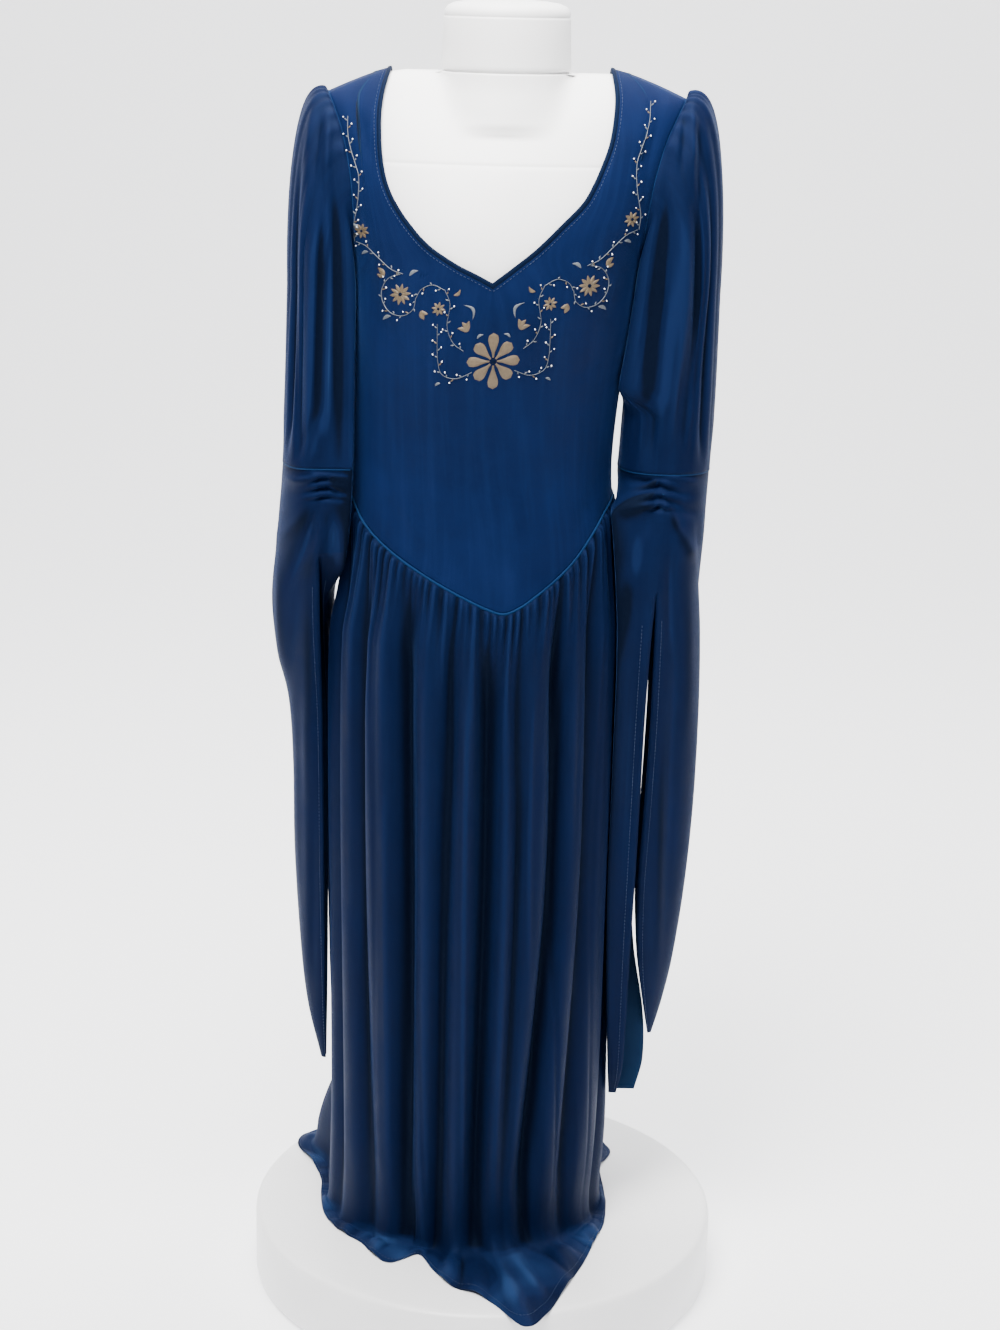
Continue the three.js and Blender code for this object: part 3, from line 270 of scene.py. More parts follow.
def between(rows, at, column):
    """Value of a table's column at any place between its rows, on a smooth curve."""
    table = np.array(rows, dtype=float)
    keys, values = table[:, 0], table[:, column]
    last = len(keys) - 1
    low = np.maximum(np.arange(last + 1) - 1, 0)
    high = np.minimum(np.arange(last + 1) + 1, last)
    slope = (values[high] - values[low]) / (keys[high] - keys[low])
    at = np.clip(at, keys[0], keys[last])
    i = np.clip(np.searchsorted(keys, at, side="right") - 1, 0, last - 1)
    step = keys[i + 1] - keys[i]
    t = (at - keys[i]) / step
    rise = t * t * (3 - 2 * t)
    start = t * (1 - t) ** 2 * step * slope[i]
    end = t * t * (t - 1) * step * slope[i + 1]
    return values[i] * (1 - rise) + values[i + 1] * rise + start + end


def smooth(value):
    """Soft step from 0 to 1."""
    t = np.clip(value, 0, 1)
    return t * t * (3 - 2 * t)


def shoulder_height(reach):
    """Height of the shoulder line at a reach from the middle."""
    along = np.maximum((np.abs(reach) - SHOULDER_LEVEL) / (SHOULDER_REACH - SHOULDER_LEVEL), 0)
    return SHOULDER_HEIGHT - SHOULDER_DROP * along ** SHOULDER_SLOPE


def shoulder_setback(height):
    return SHOULDER_SETBACK * smooth((height - CHEST_HEIGHT) / (SHOULDER_HEIGHT - CHEST_HEIGHT))


def chest_fullness(reach, height, inset=0.0):
    """How much of its depth the body still has at a height, rounding off to the shoulder line."""
    top = shoulder_height(reach) - inset - CHEST_HEIGHT
    up = np.clip((height - CHEST_HEIGHT) / top, 0, 1)
    return np.sqrt(1 - up ** SHOULDER_ROUND)


def to_metres(points):
    return points / 1000 + np.array([0, 0, STAND_TOP])


form_heights = np.concatenate([
    np.array([762, 763, 764.5, 766, 769, 773, 780]), np.arange(790, 1330, 11.0),
    CHEST_JOINT + np.array([-5, -2.4, -1.2, 0, 1.2, 2.4, 5]), np.arange(1350, 1412, 7.0),
    np.array([1413, 1416, 1419, 1422, 1425, 1428, 1431, 1433.5, 1436, 1438]),
])[:, None]
form_turn = np.linspace(0, 2 * math.pi, FORM_COLUMNS, endpoint=False)[None, :]
is_rear = np.cos(form_turn) < 0
form_reach = between(FORM_RINGS, form_heights, 1) * np.sin(form_turn)
form_x = between(GIRTHS, form_heights, MIDDLE) + form_reach
form_depth = np.where(is_rear, between(FORM_RINGS, form_heights, 3), between(FORM_RINGS, form_heights, 2))
form_depth = form_depth * np.abs(np.cos(form_turn)) ** GIRTH_SQUARENESS
sign = np.where(is_rear, 1, -1)
torso = form_depth * chest_fullness(form_reach, form_heights, FORM_RIDGE_INSET)
cloth_depth = np.where(is_rear, between(GIRTHS, form_heights, BACK), between(GIRTHS, form_heights, FRONT))
cloth_bow = 1 - np.minimum(np.abs(form_reach) / between(GIRTHS, form_heights, HALF), 1) ** 2
cloth_depth = cloth_depth * cloth_bow ** (GIRTH_SQUARENESS / 2)
cloth_depth = cloth_depth * chest_fullness(form_reach, form_heights, FORM_RIDGE_INSET) - FORM_CLEARANCE
follow = smooth((FORM_SHOULDER - np.abs(form_reach)) / FOLLOW_EDGE)
follow = follow * smooth((form_heights - FOLLOW_START) / FOLLOW_RISE)
torso = torso + follow * np.maximum(cloth_depth - torso, 0)
torso = torso + sign * shoulder_setback(form_heights)
neck_radius = between(NECK_ROUND, form_heights, 1)
neck_half = np.sqrt(np.maximum(neck_radius ** 2 - (form_x - NECK_CENTRE[0]) ** 2, 0))
neck = NECK_FLATNESS * neck_half * (form_heights > NECK_ROUND[0][0]) + sign * NECK_CENTRE[1]
lean = np.clip(0.5 + (neck - torso) / (2 * NECK_BLEND), 0, 1)
flesh = torso * (1 - lean) + neck * lean + NECK_BLEND * lean * (1 - lean)
groove = JOINT_DEPTH * np.exp(-((form_heights - CHEST_JOINT) / JOINT_WIDTH) ** 2)
form_points = np.stack([form_x, sign * (flesh - groove), form_heights + 0 * form_turn], axis=-1)
lid = form_points[-1].mean(axis=0)
keel = form_points[0].mean(axis=0)
closing = [keel + (form_points[0] - keel) * share for share in (0.0, 0.5)]
crown = [lid + (form_points[-1] - lid) * share for share in (0.75, 0.4, 0.0)]
form_points = np.concatenate([np.array(closing), form_points, np.array(crown)])
torso_mesh = grid_mesh("form_torso", to_metres(form_points), around=True)
weld(torso_mesh)
torso_piece = add_object("form_torso", torso_mesh)
form_white = shell_material("form_white_shell", (0.88, 0.875, 0.87), 0.42, 700.0)
torso_mesh.materials.append(form_white)
neck_points = revolve(NECK_BLOCK, 112) * 1000
neck_points[..., 0] += NECK_CENTRE[0]
neck_points[..., 1] = neck_points[..., 1] * NECK_FLATNESS + NECK_CENTRE[1]
neck_points = np.concatenate([neck_points[:1] * [0, 0, 1] + [*NECK_CENTRE, 0], neck_points])
block_mesh = grid_mesh("form_neck_block", to_metres(neck_points), around=True)
weld(block_mesh)
block_piece = add_object("form_neck_block", block_mesh)
block_mesh.materials.append(shell_material("neck_block_shell", (0.80, 0.795, 0.795), 0.5, 700.0))
for form_piece in (torso_piece, block_piece):
    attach(form_piece, "root")
    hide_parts("dress_form")


# Bodice. Front and back panels of blue stretch velvet, seamed at the sides and shoulders, with a wide
# scooped neck that ends in a point and a waist seam that dips to a point in front. The cloth is thin, its
# short nap lies downwards, and its inside is a plain knitted back.
WALL = 1.2
WAIST_SEAM = [
    # degrees from the front middle towards the right side, height
    (-180, 938), (-135, 943), (-90, 948), (-75, 940), (-62, 920), (-50, 903), (-27, 872), (-7, 845),
    (4, 831), (10.5, 826), (17, 833), (24, 846), (40, 878), (56, 914), (70, 937), (90, 948),
    (135, 943), (180, 938),
]
WAIST_POINT_TURN = 10.5
NECK_MIDDLE = -12
NECK_POINT_HEIGHT = 1207
NECKLINE = [
    # rise above the point, reach to the left and to the right
    (0, 0, 0), (10, 20, 13), (20, 42, 26), (40, 75, 51), (65, 100, 77), (90, 118, 102),
    (110, 127, 114), (130, 132, 123), (155, 135, 132), (185, 136, 137), (210, 133, 138),
    (240, 125, 133),
]
BACK_NECK_DROP = 75
BACK_NECK_ROUND = 0.8
NECK_TURN_IN = 6
NECK_LEAD = 0.19
NECK_EASE = 45
NECK_SPACING = 1.15
NECK_SHARE = 0.75
UNDERARM_HEIGHT = 1215
ARMHOLE = [
    # height, reach from the middle of the body
    (1215, 169), (1250, 167), (1290, 170), (1330, 176), (1370, 187), (1395, 198), (1412, 207),
]
SIDE_WAIST = 948
ARMHOLE_TOP = 1412
BODICE_HALF_COLUMNS = 80
BODICE_ROWS = (62, 56)
BODICE_CREASES = [
    # start x, start height, end x, end height, width, depth (less than 0 is a ridge)
    (-170, 1240, -120, 1120, 9, 1.6), (-168, 1190, -128, 1060, 11, -1.4), (-176, 1300, -150, 1205, 8, 1.8),
    (158, 1236, 112, 1150, 9, 1.7), (160, 1180, 120, 1090, 10, -1.2), (166, 1300, 146, 1222, 8, 1.8),
    (-150, 1010, -108, 920, 10, 1.5), (-140, 980, -84, 900, 9, -1.2), (126, 1000, 92, 908, 10, 1.4),
    (60, 1065, 12, 905, 9, -0.9), (84, 1040, 40, 915, 10, 0.9), (-60, 1075, -22, 930, 12, 0.7),
    (-172, 1395, -152, 1330, 9, 1.6), (176, 1392, 150, 1325, 9, 1.6), (-110, 1150, -60, 1110, 10, 0.7),
    (120, 1130, 70, 1090, 10, 0.7),
]
CLOTH_SWAY = [
    # depth, spacing across, spacing up, start
    (0.35, 23, 61, 0), (0.3, 37, -47, 1.3),
]
REAR_CREASE_RISE = 9
CREASE_RUNOUT = 0.15
CREASE_FADE = 1.9
SIDE_EASE = 9
END_EASE = 14
SEAM_SHIFT = 0.05
# Velvet colours. The light colour also paints highlights on fold ridges, the shade colour paints shade down
# in fold valleys, and the sheen colour paints sheen where the hem lies on the stand.
VELVET_MID = (0.0025, 0.0066, 0.034)
VELVET_LIGHT = (0.0060, 0.0150, 0.060)
VELVET_DEEP = (0.0017, 0.0046, 0.025)
VELVET_SHADE = (0.0002, 0.0006, 0.0026)
VELVET_PAINTED_SHEEN = (0.009, 0.024, 0.072)
# Skirt and sleeves are darker copies of the bodice velvet: painted shade.
SKIRT_SHADE_TONE = 0.58
SLEEVE_SHADE_TONE = 0.62
# The fold mark paints shade into fold valleys and highlights onto ridges; these set its reach and strength.
VALLEY_REACH = (14, 4.5)
FINE_VALLEY_GAIN = 2.4
BROAD_RIDGE = 0.3
VALLEY_FULL = 4.8
VALLEY_SHARE = 0.9
RIDGE_FULL = 3.0
RIDGE_SHARE = 0.75
PAINTED_SHEEN_RANGE = (-4.0, -10.0)
PILE_SIZE = 1500.0
RUB_SCALE = 11.0
STREAK_SCALE = (60.0, 5.0, 1.0)
STREAK_SHARE = 0.34
STREAK_HEIGHT = 0.35


def body_point(angle, height):
    """Point of the cloth round the body at an angle from the front and a height."""
    a = np.radians(angle)
    reach = between(GIRTHS, height, HALF) * np.sin(a)
    rear = np.cos(a) < 0
    depth = np.where(rear, between(GIRTHS, height, BACK), between(GIRTHS, height, FRONT))
    y = depth * np.abs(np.cos(a)) ** GIRTH_SQUARENESS * chest_fullness(reach, height)
    x = between(GIRTHS, height, MIDDLE) + reach
    return np.stack([x, shoulder_setback(height) + np.where(rear, y, -y), height + 0 * x], axis=-1)


def angle_at(reach, height):
    return np.degrees(np.arcsin(np.minimum(reach / between(GIRTHS, height, HALF), 1)))


def waist_height(angle):
    return between(WAIST_SEAM, np.where(angle > 180, angle - 360, angle), 1)


def neck_reach(side, rise):
    return np.where(side < 0, between(NECKLINE, rise, 1), between(NECKLINE, rise, 2))


def neck_rise(side):
    """Rise at which the neckline meets the shoulder line."""
    top = SHOULDER_HEIGHT - NECK_POINT_HEIGHT + 0.0 * side
    for _ in range(6):
        top = shoulder_height(NECK_MIDDLE + side * neck_reach(side, top) + 1) - NECK_POINT_HEIGHT
    return top


NECK_TOPS = neck_rise(np.array([-1, 1]))


def top_edge(side, share, is_front):
    """Reach and height of a panel's top edge, over its neckline and then its shoulder seam."""
    top = neck_rise(side + 0 * share)
    neck_x = NECK_MIDDLE + side * neck_reach(side, top)
    t = np.clip(share / NECK_SHARE, 0, 1)
    if is_front:
        rise = top * (1 - np.cos(math.pi * t ** NECK_SPACING)) / 2
        x = NECK_MIDDLE + side * neck_reach(side, rise)
        height = NECK_POINT_HEIGHT + rise
    else:
        x = NECK_MIDDLE + (neck_x - NECK_MIDDLE) * np.sin(math.pi / 2 * t)
        fall = np.clip(np.cos(math.pi / 2 * t), 0, 1) ** BACK_NECK_ROUND
        level = top + (NECK_TOPS.mean() - top) * fall
        height = NECK_POINT_HEIGHT + level - BACK_NECK_DROP * fall
    s = np.clip((share - NECK_SHARE) / (1 - NECK_SHARE), 0, 1)
    reach = np.abs(neck_x + 1) * (1 - s) + SHOULDER_REACH * s
    on_shoulder = share > NECK_SHARE
    x = np.where(on_shoulder, side * reach - 1, x)
    return x, np.where(on_shoulder, shoulder_height(reach), height)


def armhole_angle(height):
    reach = between(ARMHOLE, height, 1)
    return np.where(height <= UNDERARM_HEIGHT, 90, angle_at(reach, height))


def beside_neck(side, u, height):
    """Angle of a front column at a height, between the neckline and the armhole, led round the neck."""
    top = NECK_TOPS[0] + (NECK_TOPS[1] - NECK_TOPS[0]) * (side > 0)
    rise = np.clip(height - NECK_POINT_HEIGHT, 0, top)
    own = NECK_SHARE * (np.arccos(1 - 2 * rise / top) / math.pi) ** (1 / NECK_SPACING)
    neck_x = NECK_MIDDLE + side * neck_reach(side, rise)
    reach = side * (neck_x - between(GIRTHS, height, MIDDLE))
    neck_angle = np.sign(reach) * angle_at(np.abs(reach), height)
    part = (np.abs(u) - own) / (1 - own)
    return side * (neck_angle + (armhole_angle(height) - neck_angle) * part)


def column_angle(side, u, height, is_front):
    """Angle of a panel's column at a height, straight below the neck and led round it above."""
    plain = u * armhole_angle(height)
    if not is_front:
        return plain
    share = smooth((np.abs(u) - NECK_LEAD) / NECK_LEAD) * smooth((height - NECK_POINT_HEIGHT) / NECK_EASE)
    return plain + (beside_neck(side, u, height) - plain) * share


def bodice_place(u, v, is_front):
    """Angle and height on the body of a place on a panel: across it from -1 to 1, and up it."""
    side = np.where(u < 0, -1, 1)
    top_x, top_height = top_edge(side, np.abs(u), is_front)
    turn = WAIST_POINT_TURN * (1 - u * u) if is_front else 0 * u
    start = 90 * u + turn
    bottom = waist_height(start if is_front else 180 - start)
    height = bottom + (top_height - bottom) * v
    reach = top_x - between(GIRTHS, top_height, MIDDLE)
    end = np.sign(reach) * angle_at(np.abs(reach), top_height)
    angle = column_angle(side, u, height, is_front) + turn * (1 - smooth(v))
    angle = angle + (end - column_angle(side, u, top_height, is_front)) * v ** NECK_TURN_IN
    return (angle if is_front else 180 - angle), height


def along_line(x, height, x0, h0, x1, h1, width):
    """How strongly a soft crease from one point to another shows at a place."""
    run = np.array([x1 - x0, h1 - h0])
    size = np.hypot(*run)
    t = ((x - x0) * run[0] + (height - h0) * run[1]) / size ** 2
    off = ((x - x0) * run[1] - (height - h0) * run[0]) / size
    start = smooth(np.clip(t + CREASE_RUNOUT, 0, 1) * CREASE_FADE)
    ends = start * smooth(np.clip(1 + CREASE_RUNOUT - t, 0, 1) * CREASE_FADE)
    return np.exp(-(off / width) ** 2) * ends


def creased(creases, x, height):
    lift = np.zeros_like(x)
    for x0, h0, x1, h1, width, depth in creases:
        lift = lift - depth * along_line(x, height, x0, h0, x1, h1, width)
    return lift


def bodice_relief(points, is_front):
    """Lift of the soft drag lines and of the slight sway of the stretched cloth."""
    x, height = points[..., 0], points[..., 2]
    lift = creased(BODICE_CREASES, x, height + (0 if is_front else REAR_CREASE_RISE))
    waves = [depth * np.sin(x / wide + height / tall + start) for depth, wide, tall, start in CLOTH_SWAY]
    return lift + sum(waves)


def surface_normals(points, around=False):
    """Unit normals of a grid of points, towards the left of its rows' direction seen from above."""
    if around:
        points = np.concatenate([points[:, -1:], points, points[:, :1]], axis=1)
    across = np.gradient(points, axis=1)
    up = np.gradient(points, axis=0)
    normal = np.cross(across, up)
    normal = normal / np.maximum(np.linalg.norm(normal, axis=-1, keepdims=True), 1e-9)
    return normal[:, 1:-1] if around else normal


def bodice_grid(u, v, is_front):
    points = body_point(*bodice_place(u, v, is_front))
    if not is_front:
        points = points[:, ::-1]
    return points


def relieved_bodice(u, v, is_front):
    points = bodice_grid(u, v, is_front)
    normal = surface_normals(points)
    edge = smooth((1 - np.abs(u)) * SIDE_EASE) * smooth(v * END_EASE) * smooth((1 - v) * END_EASE)
    if not is_front:
        edge = edge[:, ::-1]
    return points + normal * (bodice_relief(points, is_front) * edge)[..., None]


def lay_uv(points, around=False):
    """UV map in metres: along the weft and up the grain of the cloth."""
    rows, columns = points.shape[:2]
    wide = np.linalg.norm(np.diff(points, axis=1), axis=-1).mean(axis=0)
    tall = np.linalg.norm(np.diff(points, axis=0), axis=-1).mean(axis=1)
    u = np.concatenate([[0], np.cumsum(wide)]) / 1000
    v = np.concatenate([[0], np.cumsum(tall)]) / 1000
    if around:
        u = np.concatenate([u, [u[-1] + u[1]]])
    index = np.arange(rows * (columns + around)).reshape(rows, columns + around)
    flat = np.stack(np.broadcast_arrays(u[None, :], v[:, None]), axis=-1).reshape(-1, 2)
    return flat[quads_of(index)]


def put_map(mesh, corners):
    """Gives a mesh its UV map, a row of places for each face's corners."""
    layer = mesh.uv_layers.new(name="grain")
    layer.data.foreach_set("uv", corners.reshape(-1).astype(np.float32))


def soften(points, reach, around):
    """Grid of points averaged over a number of its columns to either side."""
    offsets = np.arange(-2 * reach, 2 * reach + 1)
    weights = np.exp(-(offsets / reach) ** 2)
    weights = weights / weights.sum()
    mode = "wrap" if around else "edge"
    padded = np.pad(points, ((0, 0), (2 * reach, 2 * reach), (0, 0)), mode=mode)
    return sum(weight * padded[:, i:i + points.shape[1]] for i, weight in enumerate(weights))


def fold_values(points, around, flip):
    """How far each point lies in a fold's valley, above 0, or on its ridge, below 0."""
    wide = np.linalg.norm(np.diff(points, axis=1), axis=-1).mean()
    normal = surface_normals(points, around) * (-1 if flip else 1)
    total = 0
    for width, gain in zip(VALLEY_REACH, (1, FINE_VALLEY_GAIN)):
        reach = max(int(round(width / wide)), 1)
        sunk = ((soften(points, reach, around) - points) * normal).sum(axis=-1)
        sunk = sunk - np.median(sunk)
        total = total + np.where((sunk < 0) & (gain == 1), sunk * BROAD_RIDGE, sunk) * gain
    return total


# The fold mark sets painted shade in valleys, painted highlights on ridges and painted sheen on the lying
# hem.
def mark_fold_shading(mesh, values):
    layer = mesh.attributes.new("fold", "FLOAT", "POINT")
    layer.data.foreach_set("value", values.reshape(-1).astype(np.float32))


def walled(mesh, pile):
    """The piece of a thin sheet of velvet, pile outside and plain back inside, with its thickness."""
    piece = add_object(mesh.name, mesh)
    mesh.materials.append(pile)
    mesh.materials.append(velvet_back)
    wall = piece.modifiers.new("wall", "SOLIDIFY")
    wall.thickness = WALL / 1000
    wall.offset = 0.0
    wall.material_offset = 1
    wall.material_offset_rim = 0
    wall.use_even_offset = False
    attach(piece, "root")
    return piece


def cloth_piece(name, points, pile, around=False, flip=False, painted_shade_and_sheen=0.0):
    """A thin sheet of velvet through a grid of points, with its map and the marks of its folds for painted
    shade, highlights and sheen.
    """
    mesh = grid_mesh(name, to_metres(points), around=around, flip=flip)
    mark_fold_shading(mesh, fold_values(points, around, flip) + painted_shade_and_sheen)
    corners = lay_uv(points, around)
    put_map(mesh, corners[:, ::-1] if flip else corners)
    return walled(mesh, pile)


def ranged(tree, source, low, high, least=0.0, most=1.0, kind="LINEAR"):
    """Takes a socket's values from one range to another."""
    node = node_at(tree, "ShaderNodeMapRange", interpolation_type=kind)
    for name, value in (("From Min", low), ("From Max", high), ("To Min", least), ("To Max", most)):
        node.inputs[name].default_value = value
    tree.links.new(source, node.inputs["Value"])
    return node.outputs["Result"]


def mixed(tree, first, second, share):
    """Colour between those of two sockets, by the value of a third."""
    node = node_at(tree, "ShaderNodeMix", data_type="RGBA")
    tree.links.new(first, node.inputs[6])
    tree.links.new(second, node.inputs[7])
    tree.links.new(share, node.inputs["Factor"])
    return node.outputs[2]


def pile_group():
    """Nap of velvet: colour that shifts in patches of the pile, painted fold shade, highlights and sheen,
    and the height of pile and rubs.
    """
    tree = bpy.data.node_groups.new("velvet_nap_and_painted_light", "ShaderNodeTree")
    make = tree.interface.new_socket
    for name in ("Mid", "Light", "Deep", "Shade", "Painted sheen"):
        make(name, in_out="INPUT", socket_type="NodeSocketColor")
    make("Pile size", in_out="INPUT", socket_type="NodeSocketFloat").default_value = PILE_SIZE
    make("Colour", in_out="OUTPUT", socket_type="NodeSocketColor")
    make("Height", in_out="OUTPUT", socket_type="NodeSocketFloat")
    make("Rub", in_out="OUTPUT", socket_type="NodeSocketFloat")
    entry = tree.nodes.new("NodeGroupInput")
    leave = tree.nodes.new("NodeGroupOutput")
    links = tree.links
    grain = node_at(tree, "ShaderNodeUVMap", uv_map="grain")
    stretch = node_at(tree, "ShaderNodeMapping", Scale=STREAK_SCALE)
    links.new(grain.outputs["UV"], stretch.inputs["Vector"])
    streak = node_at(tree, "ShaderNodeTexNoise", Scale=1.0, Detail=5.0, Roughness=0.6)
    links.new(stretch.outputs["Vector"], streak.inputs["Vector"])
    place = tree.nodes.new("ShaderNodeTexCoord")
    rub = node_at(tree, "ShaderNodeTexNoise", Scale=RUB_SCALE, Detail=4.0, Roughness=0.62)
    links.new(place.outputs["Object"], rub.inputs["Vector"])
    pile = node_at(tree, "ShaderNodeTexNoise", Detail=2.0, Roughness=0.7)
    links.new(place.outputs["Object"], pile.inputs["Vector"])
    links.new(entry.outputs["Pile size"], pile.inputs["Scale"])
    rubbed = ranged(tree, rub.outputs["Fac"], 0.35, 0.75)
    streaked = ranged(tree, streak.outputs["Fac"], 0.45, 0.8, 0.0, STREAK_SHARE)
    # The fold mark paints shade into valleys, highlights onto ridges and sheen onto the lying hem.
    fold = node_at(tree, "ShaderNodeAttribute", attribute_name="fold").outputs["Fac"]
    ridge_highlight = ranged(tree, fold, -0.3, -RIDGE_FULL, 0.0, RIDGE_SHARE, "SMOOTHSTEP")
    painted_sheen = ranged(tree, fold, *PAINTED_SHEEN_RANGE, kind="SMOOTHSTEP")
    valley_shade = ranged(tree, fold, 0.1, VALLEY_FULL, 0.0, VALLEY_SHARE, "SMOOTHSTEP")
    tone = mixed(tree, entry.outputs["Deep"], entry.outputs["Mid"], rubbed)
    for name, share in (("Light", streaked), ("Light", ridge_highlight), ("Painted sheen", painted_sheen), ("Shade", valley_shade)):
        tone = mixed(tree, tone, entry.outputs[name], share)
    links.new(tone, leave.inputs["Colour"])
    both = node_at(tree, "ShaderNodeMath", operation="MULTIPLY_ADD")
    both.inputs[1].default_value = STREAK_HEIGHT
    links.new(streak.outputs["Fac"], both.inputs[0])
    links.new(pile.outputs["Fac"], both.inputs[2])
    links.new(both.outputs["Value"], leave.inputs["Height"])
    links.new(rubbed, leave.inputs["Rub"])
    return tree


velvet_nap_and_painted_light = pile_group()


def velvet_material(name, mid, light, deep, sheen, glow):
    """Velvet: the nap's colours with painted fold shade, highlights and sheen, a matt pile with a little
    sheen, and fine relief.
    """
    material, tree, shader = new_material(name)
    nap = tree.nodes.new("ShaderNodeGroup")
    nap.node_tree = velvet_nap_and_painted_light
    tones = {"Mid": mid, "Light": light, "Deep": deep, "Shade": VELVET_SHADE, "Painted sheen": VELVET_PAINTED_SHEEN}
    for part, colour in tones.items():
        nap.inputs[part].default_value = (*colour, 1)
    tree.links.new(nap.outputs["Colour"], shader.inputs["Base Color"])
    rough = ranged(tree, nap.outputs["Rub"], 0.0, 1.0, 0.56, 0.72)
    tree.links.new(rough, shader.inputs["Roughness"])
    bump = node_at(tree, "ShaderNodeBump", Strength=0.35, Distance=0.0012)
    tree.links.new(nap.outputs["Height"], bump.inputs["Height"])
    tree.links.new(bump.outputs["Normal"], shader.inputs["Normal"])
    shader.inputs["Specular IOR Level"].default_value = 0.12
    shader.inputs["Specular Tint"].default_value = (0.24, 0.44, 1.0, 1)
    shader.inputs["Sheen Weight"].default_value = sheen
    shader.inputs["Sheen Roughness"].default_value = 0.4
    shader.inputs["Sheen Tint"].default_value = (*glow, 1)
    return material


def velvet_with_painted_shade_tone(name, share, sheen):
    """The same velvet in a deeper tone, as the photo shows it on skirt and sleeves: painted shade there."""
    tones = [tuple(share * part for part in tone) for tone in (VELVET_MID, VELVET_LIGHT, VELVET_DEEP)]
    return velvet_material(name, *tones, sheen, (0.12, 0.30, 0.9))


velvet = velvet_with_painted_shade_tone("blue_velvet", 1.0, 0.10)
# Darker copies for skirt and sleeves: painted shade.
velvet_skirt = velvet_with_painted_shade_tone("blue_velvet_skirt_shaded", SKIRT_SHADE_TONE, 0.055)
velvet_sleeve = velvet_with_painted_shade_tone("blue_velvet_sleeve_shaded", SLEEVE_SHADE_TONE, 0.075)
velvet_back = velvet_material(
    "blue_velvet_back", (0.006, 0.020, 0.052), (0.009, 0.027, 0.066), (0.004, 0.014, 0.040),
    sheen=0.03, glow=(0.5, 0.6, 0.8),
)
seam_share = (UNDERARM_HEIGHT - SIDE_WAIST) / (ARMHOLE_TOP - SIDE_WAIST)
bodice_v = np.concatenate([
    np.linspace(0, seam_share, BODICE_ROWS[0], endpoint=False), np.linspace(seam_share, 1, BODICE_ROWS[1]),
])[:, None]
bodice_u = np.linspace(-1, 1, 2 * BODICE_HALF_COLUMNS + 1)[None, :] + 0 * bodice_v
bodice_shape = {}
for is_front, panel in ((True, "bodice_front"), (False, "bodice_back")):
    shape = relieved_bodice(bodice_u, bodice_v + 0 * bodice_u, is_front)
    shape[..., 1] += -SEAM_SHIFT if is_front else SEAM_SHIFT
    bodice_shape[panel] = shape
    piece = cloth_piece("velvet_" + panel, shape, velvet)
    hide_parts(panel)


# Skirt. Front and back panels gathered by hand onto the waist seam, so the cloth leaves it in many small
# uneven pleats. These join into long soft folds, and the hem, which is too long, lies spread on the stand.
GATHER_FADE = 120
FOLD_START = 150
FOLD_LEAD = 12
FOLD_CREST = 3
FOLD_LEVELS = (100, 480, 850)
SKIRT_FOLDS = [
    # angle near the waist, half way down and near the floor, width in degrees, depth
    (-110, -112, -108, 7.5, 18), (-91, -90, -92, 6, 13), (-71, -70, -69, 5, 15), (-49, -50, -46, 5, 17),
    (-28, -26, -27, 4.6, 25), (-9, -10, -11.5, 4.2, 18), (6.5, 7, 4, 4.6, 27), (16, 19.5, 15, 3.2, 9),
    (34, 37, 25, 4.6, 25), (53, 56, 46, 5, 18), (75, 80, 74, 5, 16), (104, 106, 104, 6, 14),
    (123, 121, 124, 6.2, 19), (141, 143, 140, 5.6, 20), (159, 158, 160, 5.4, 17), (176, 175, 177, 5.8, 22),
    (-166, -164, -167, 5.4, 17), (-147, -149, -146, 5.8, 21), (-130, -129, -131, 5.4, 16),
]
HEM = [
    # angle, reach of the wall where it meets the stand, reach of the cut edge, height of the hump between
    (-180, 192, 250, 10), (-150, 206, 262, 12), (-133, 228, 268, 9), (-121, 238, 269, 8),
    (-111, 198, 220, 5), (-100, 181, 194, 4), (-88, 177, 188, 4), (-70, 174, 189, 5), (-57, 168, 187, 6),
    (-44, 160, 183, 8), (-32, 158, 198, 12), (-26, 154, 198, 10), (-19, 142, 166, 5), (-10, 150, 197, 10),
    (-3, 156, 230, 14), (5, 158, 251, 9), (9, 160, 275, 10), (14, 162, 326, 14), (20, 164, 308, 15),
    (27, 164, 274, 12), (37, 164, 240, 12), (54, 168, 206, 9), (70, 172, 194, 5), (84, 174, 187, 4),
    (100, 176, 187, 4), (115, 184, 200, 5), (124, 202, 238, 8), (140, 196, 240, 9), (160, 190, 244, 9),
    (180, 192, 250, 10),
]
HEM_CENTRE = -25
FLARE_HEIGHT = 210
FOOT_HEIGHT = 9
FOOT_FOLD = 0.5
FOOT_TAPER = 0.94
FOOT_ROUND = 46
SPREAD_LEAST = 8
RIM = 296
RIM_DROOP = 0.07
FLOOR_REST = 1.5
# Painted sheen in patches on the cloth lying on the stand, and painted shade down the deepest folds.
LYING_HEIGHT = 17
LYING_SHEEN = 8.0
DEEP_FOLD = 22
DEEP_SHADE = 3.2
REAR_FLAP = (-124, 15, 1.3)
CREST_LEVEL = 6
CREST_RANGE = 13
HUMP_LEAST = 0.3
HUMP_ROUND = 1.5
RIPPLE_SIZES = (2.4, 2.0)
RIPPLE_WAVES = (31, 7, 13)
RIPPLE_SWAY = 1.4
RIPPLE_LAG = 2.0
RIPPLE_SINK = 1.5
GATHERS = 106
GATHER_SEED = 11
GATHER_PUFF = 2.5
GATHER_ZONE = 190
GATHER_RISE = 4
PUFF_RISE = 14
PUFF_FALL = 70
SIDE_PRESS = 0.6
SIDE_PRESS_PLACE = 88
SIDE_PRESS_WIDTH = 22
CREASE_WAVE = 260
ROW_EASE = 1.35
TURN_ROWS = 12
TURN_DROP = 0.4
LYING_START = 0.36
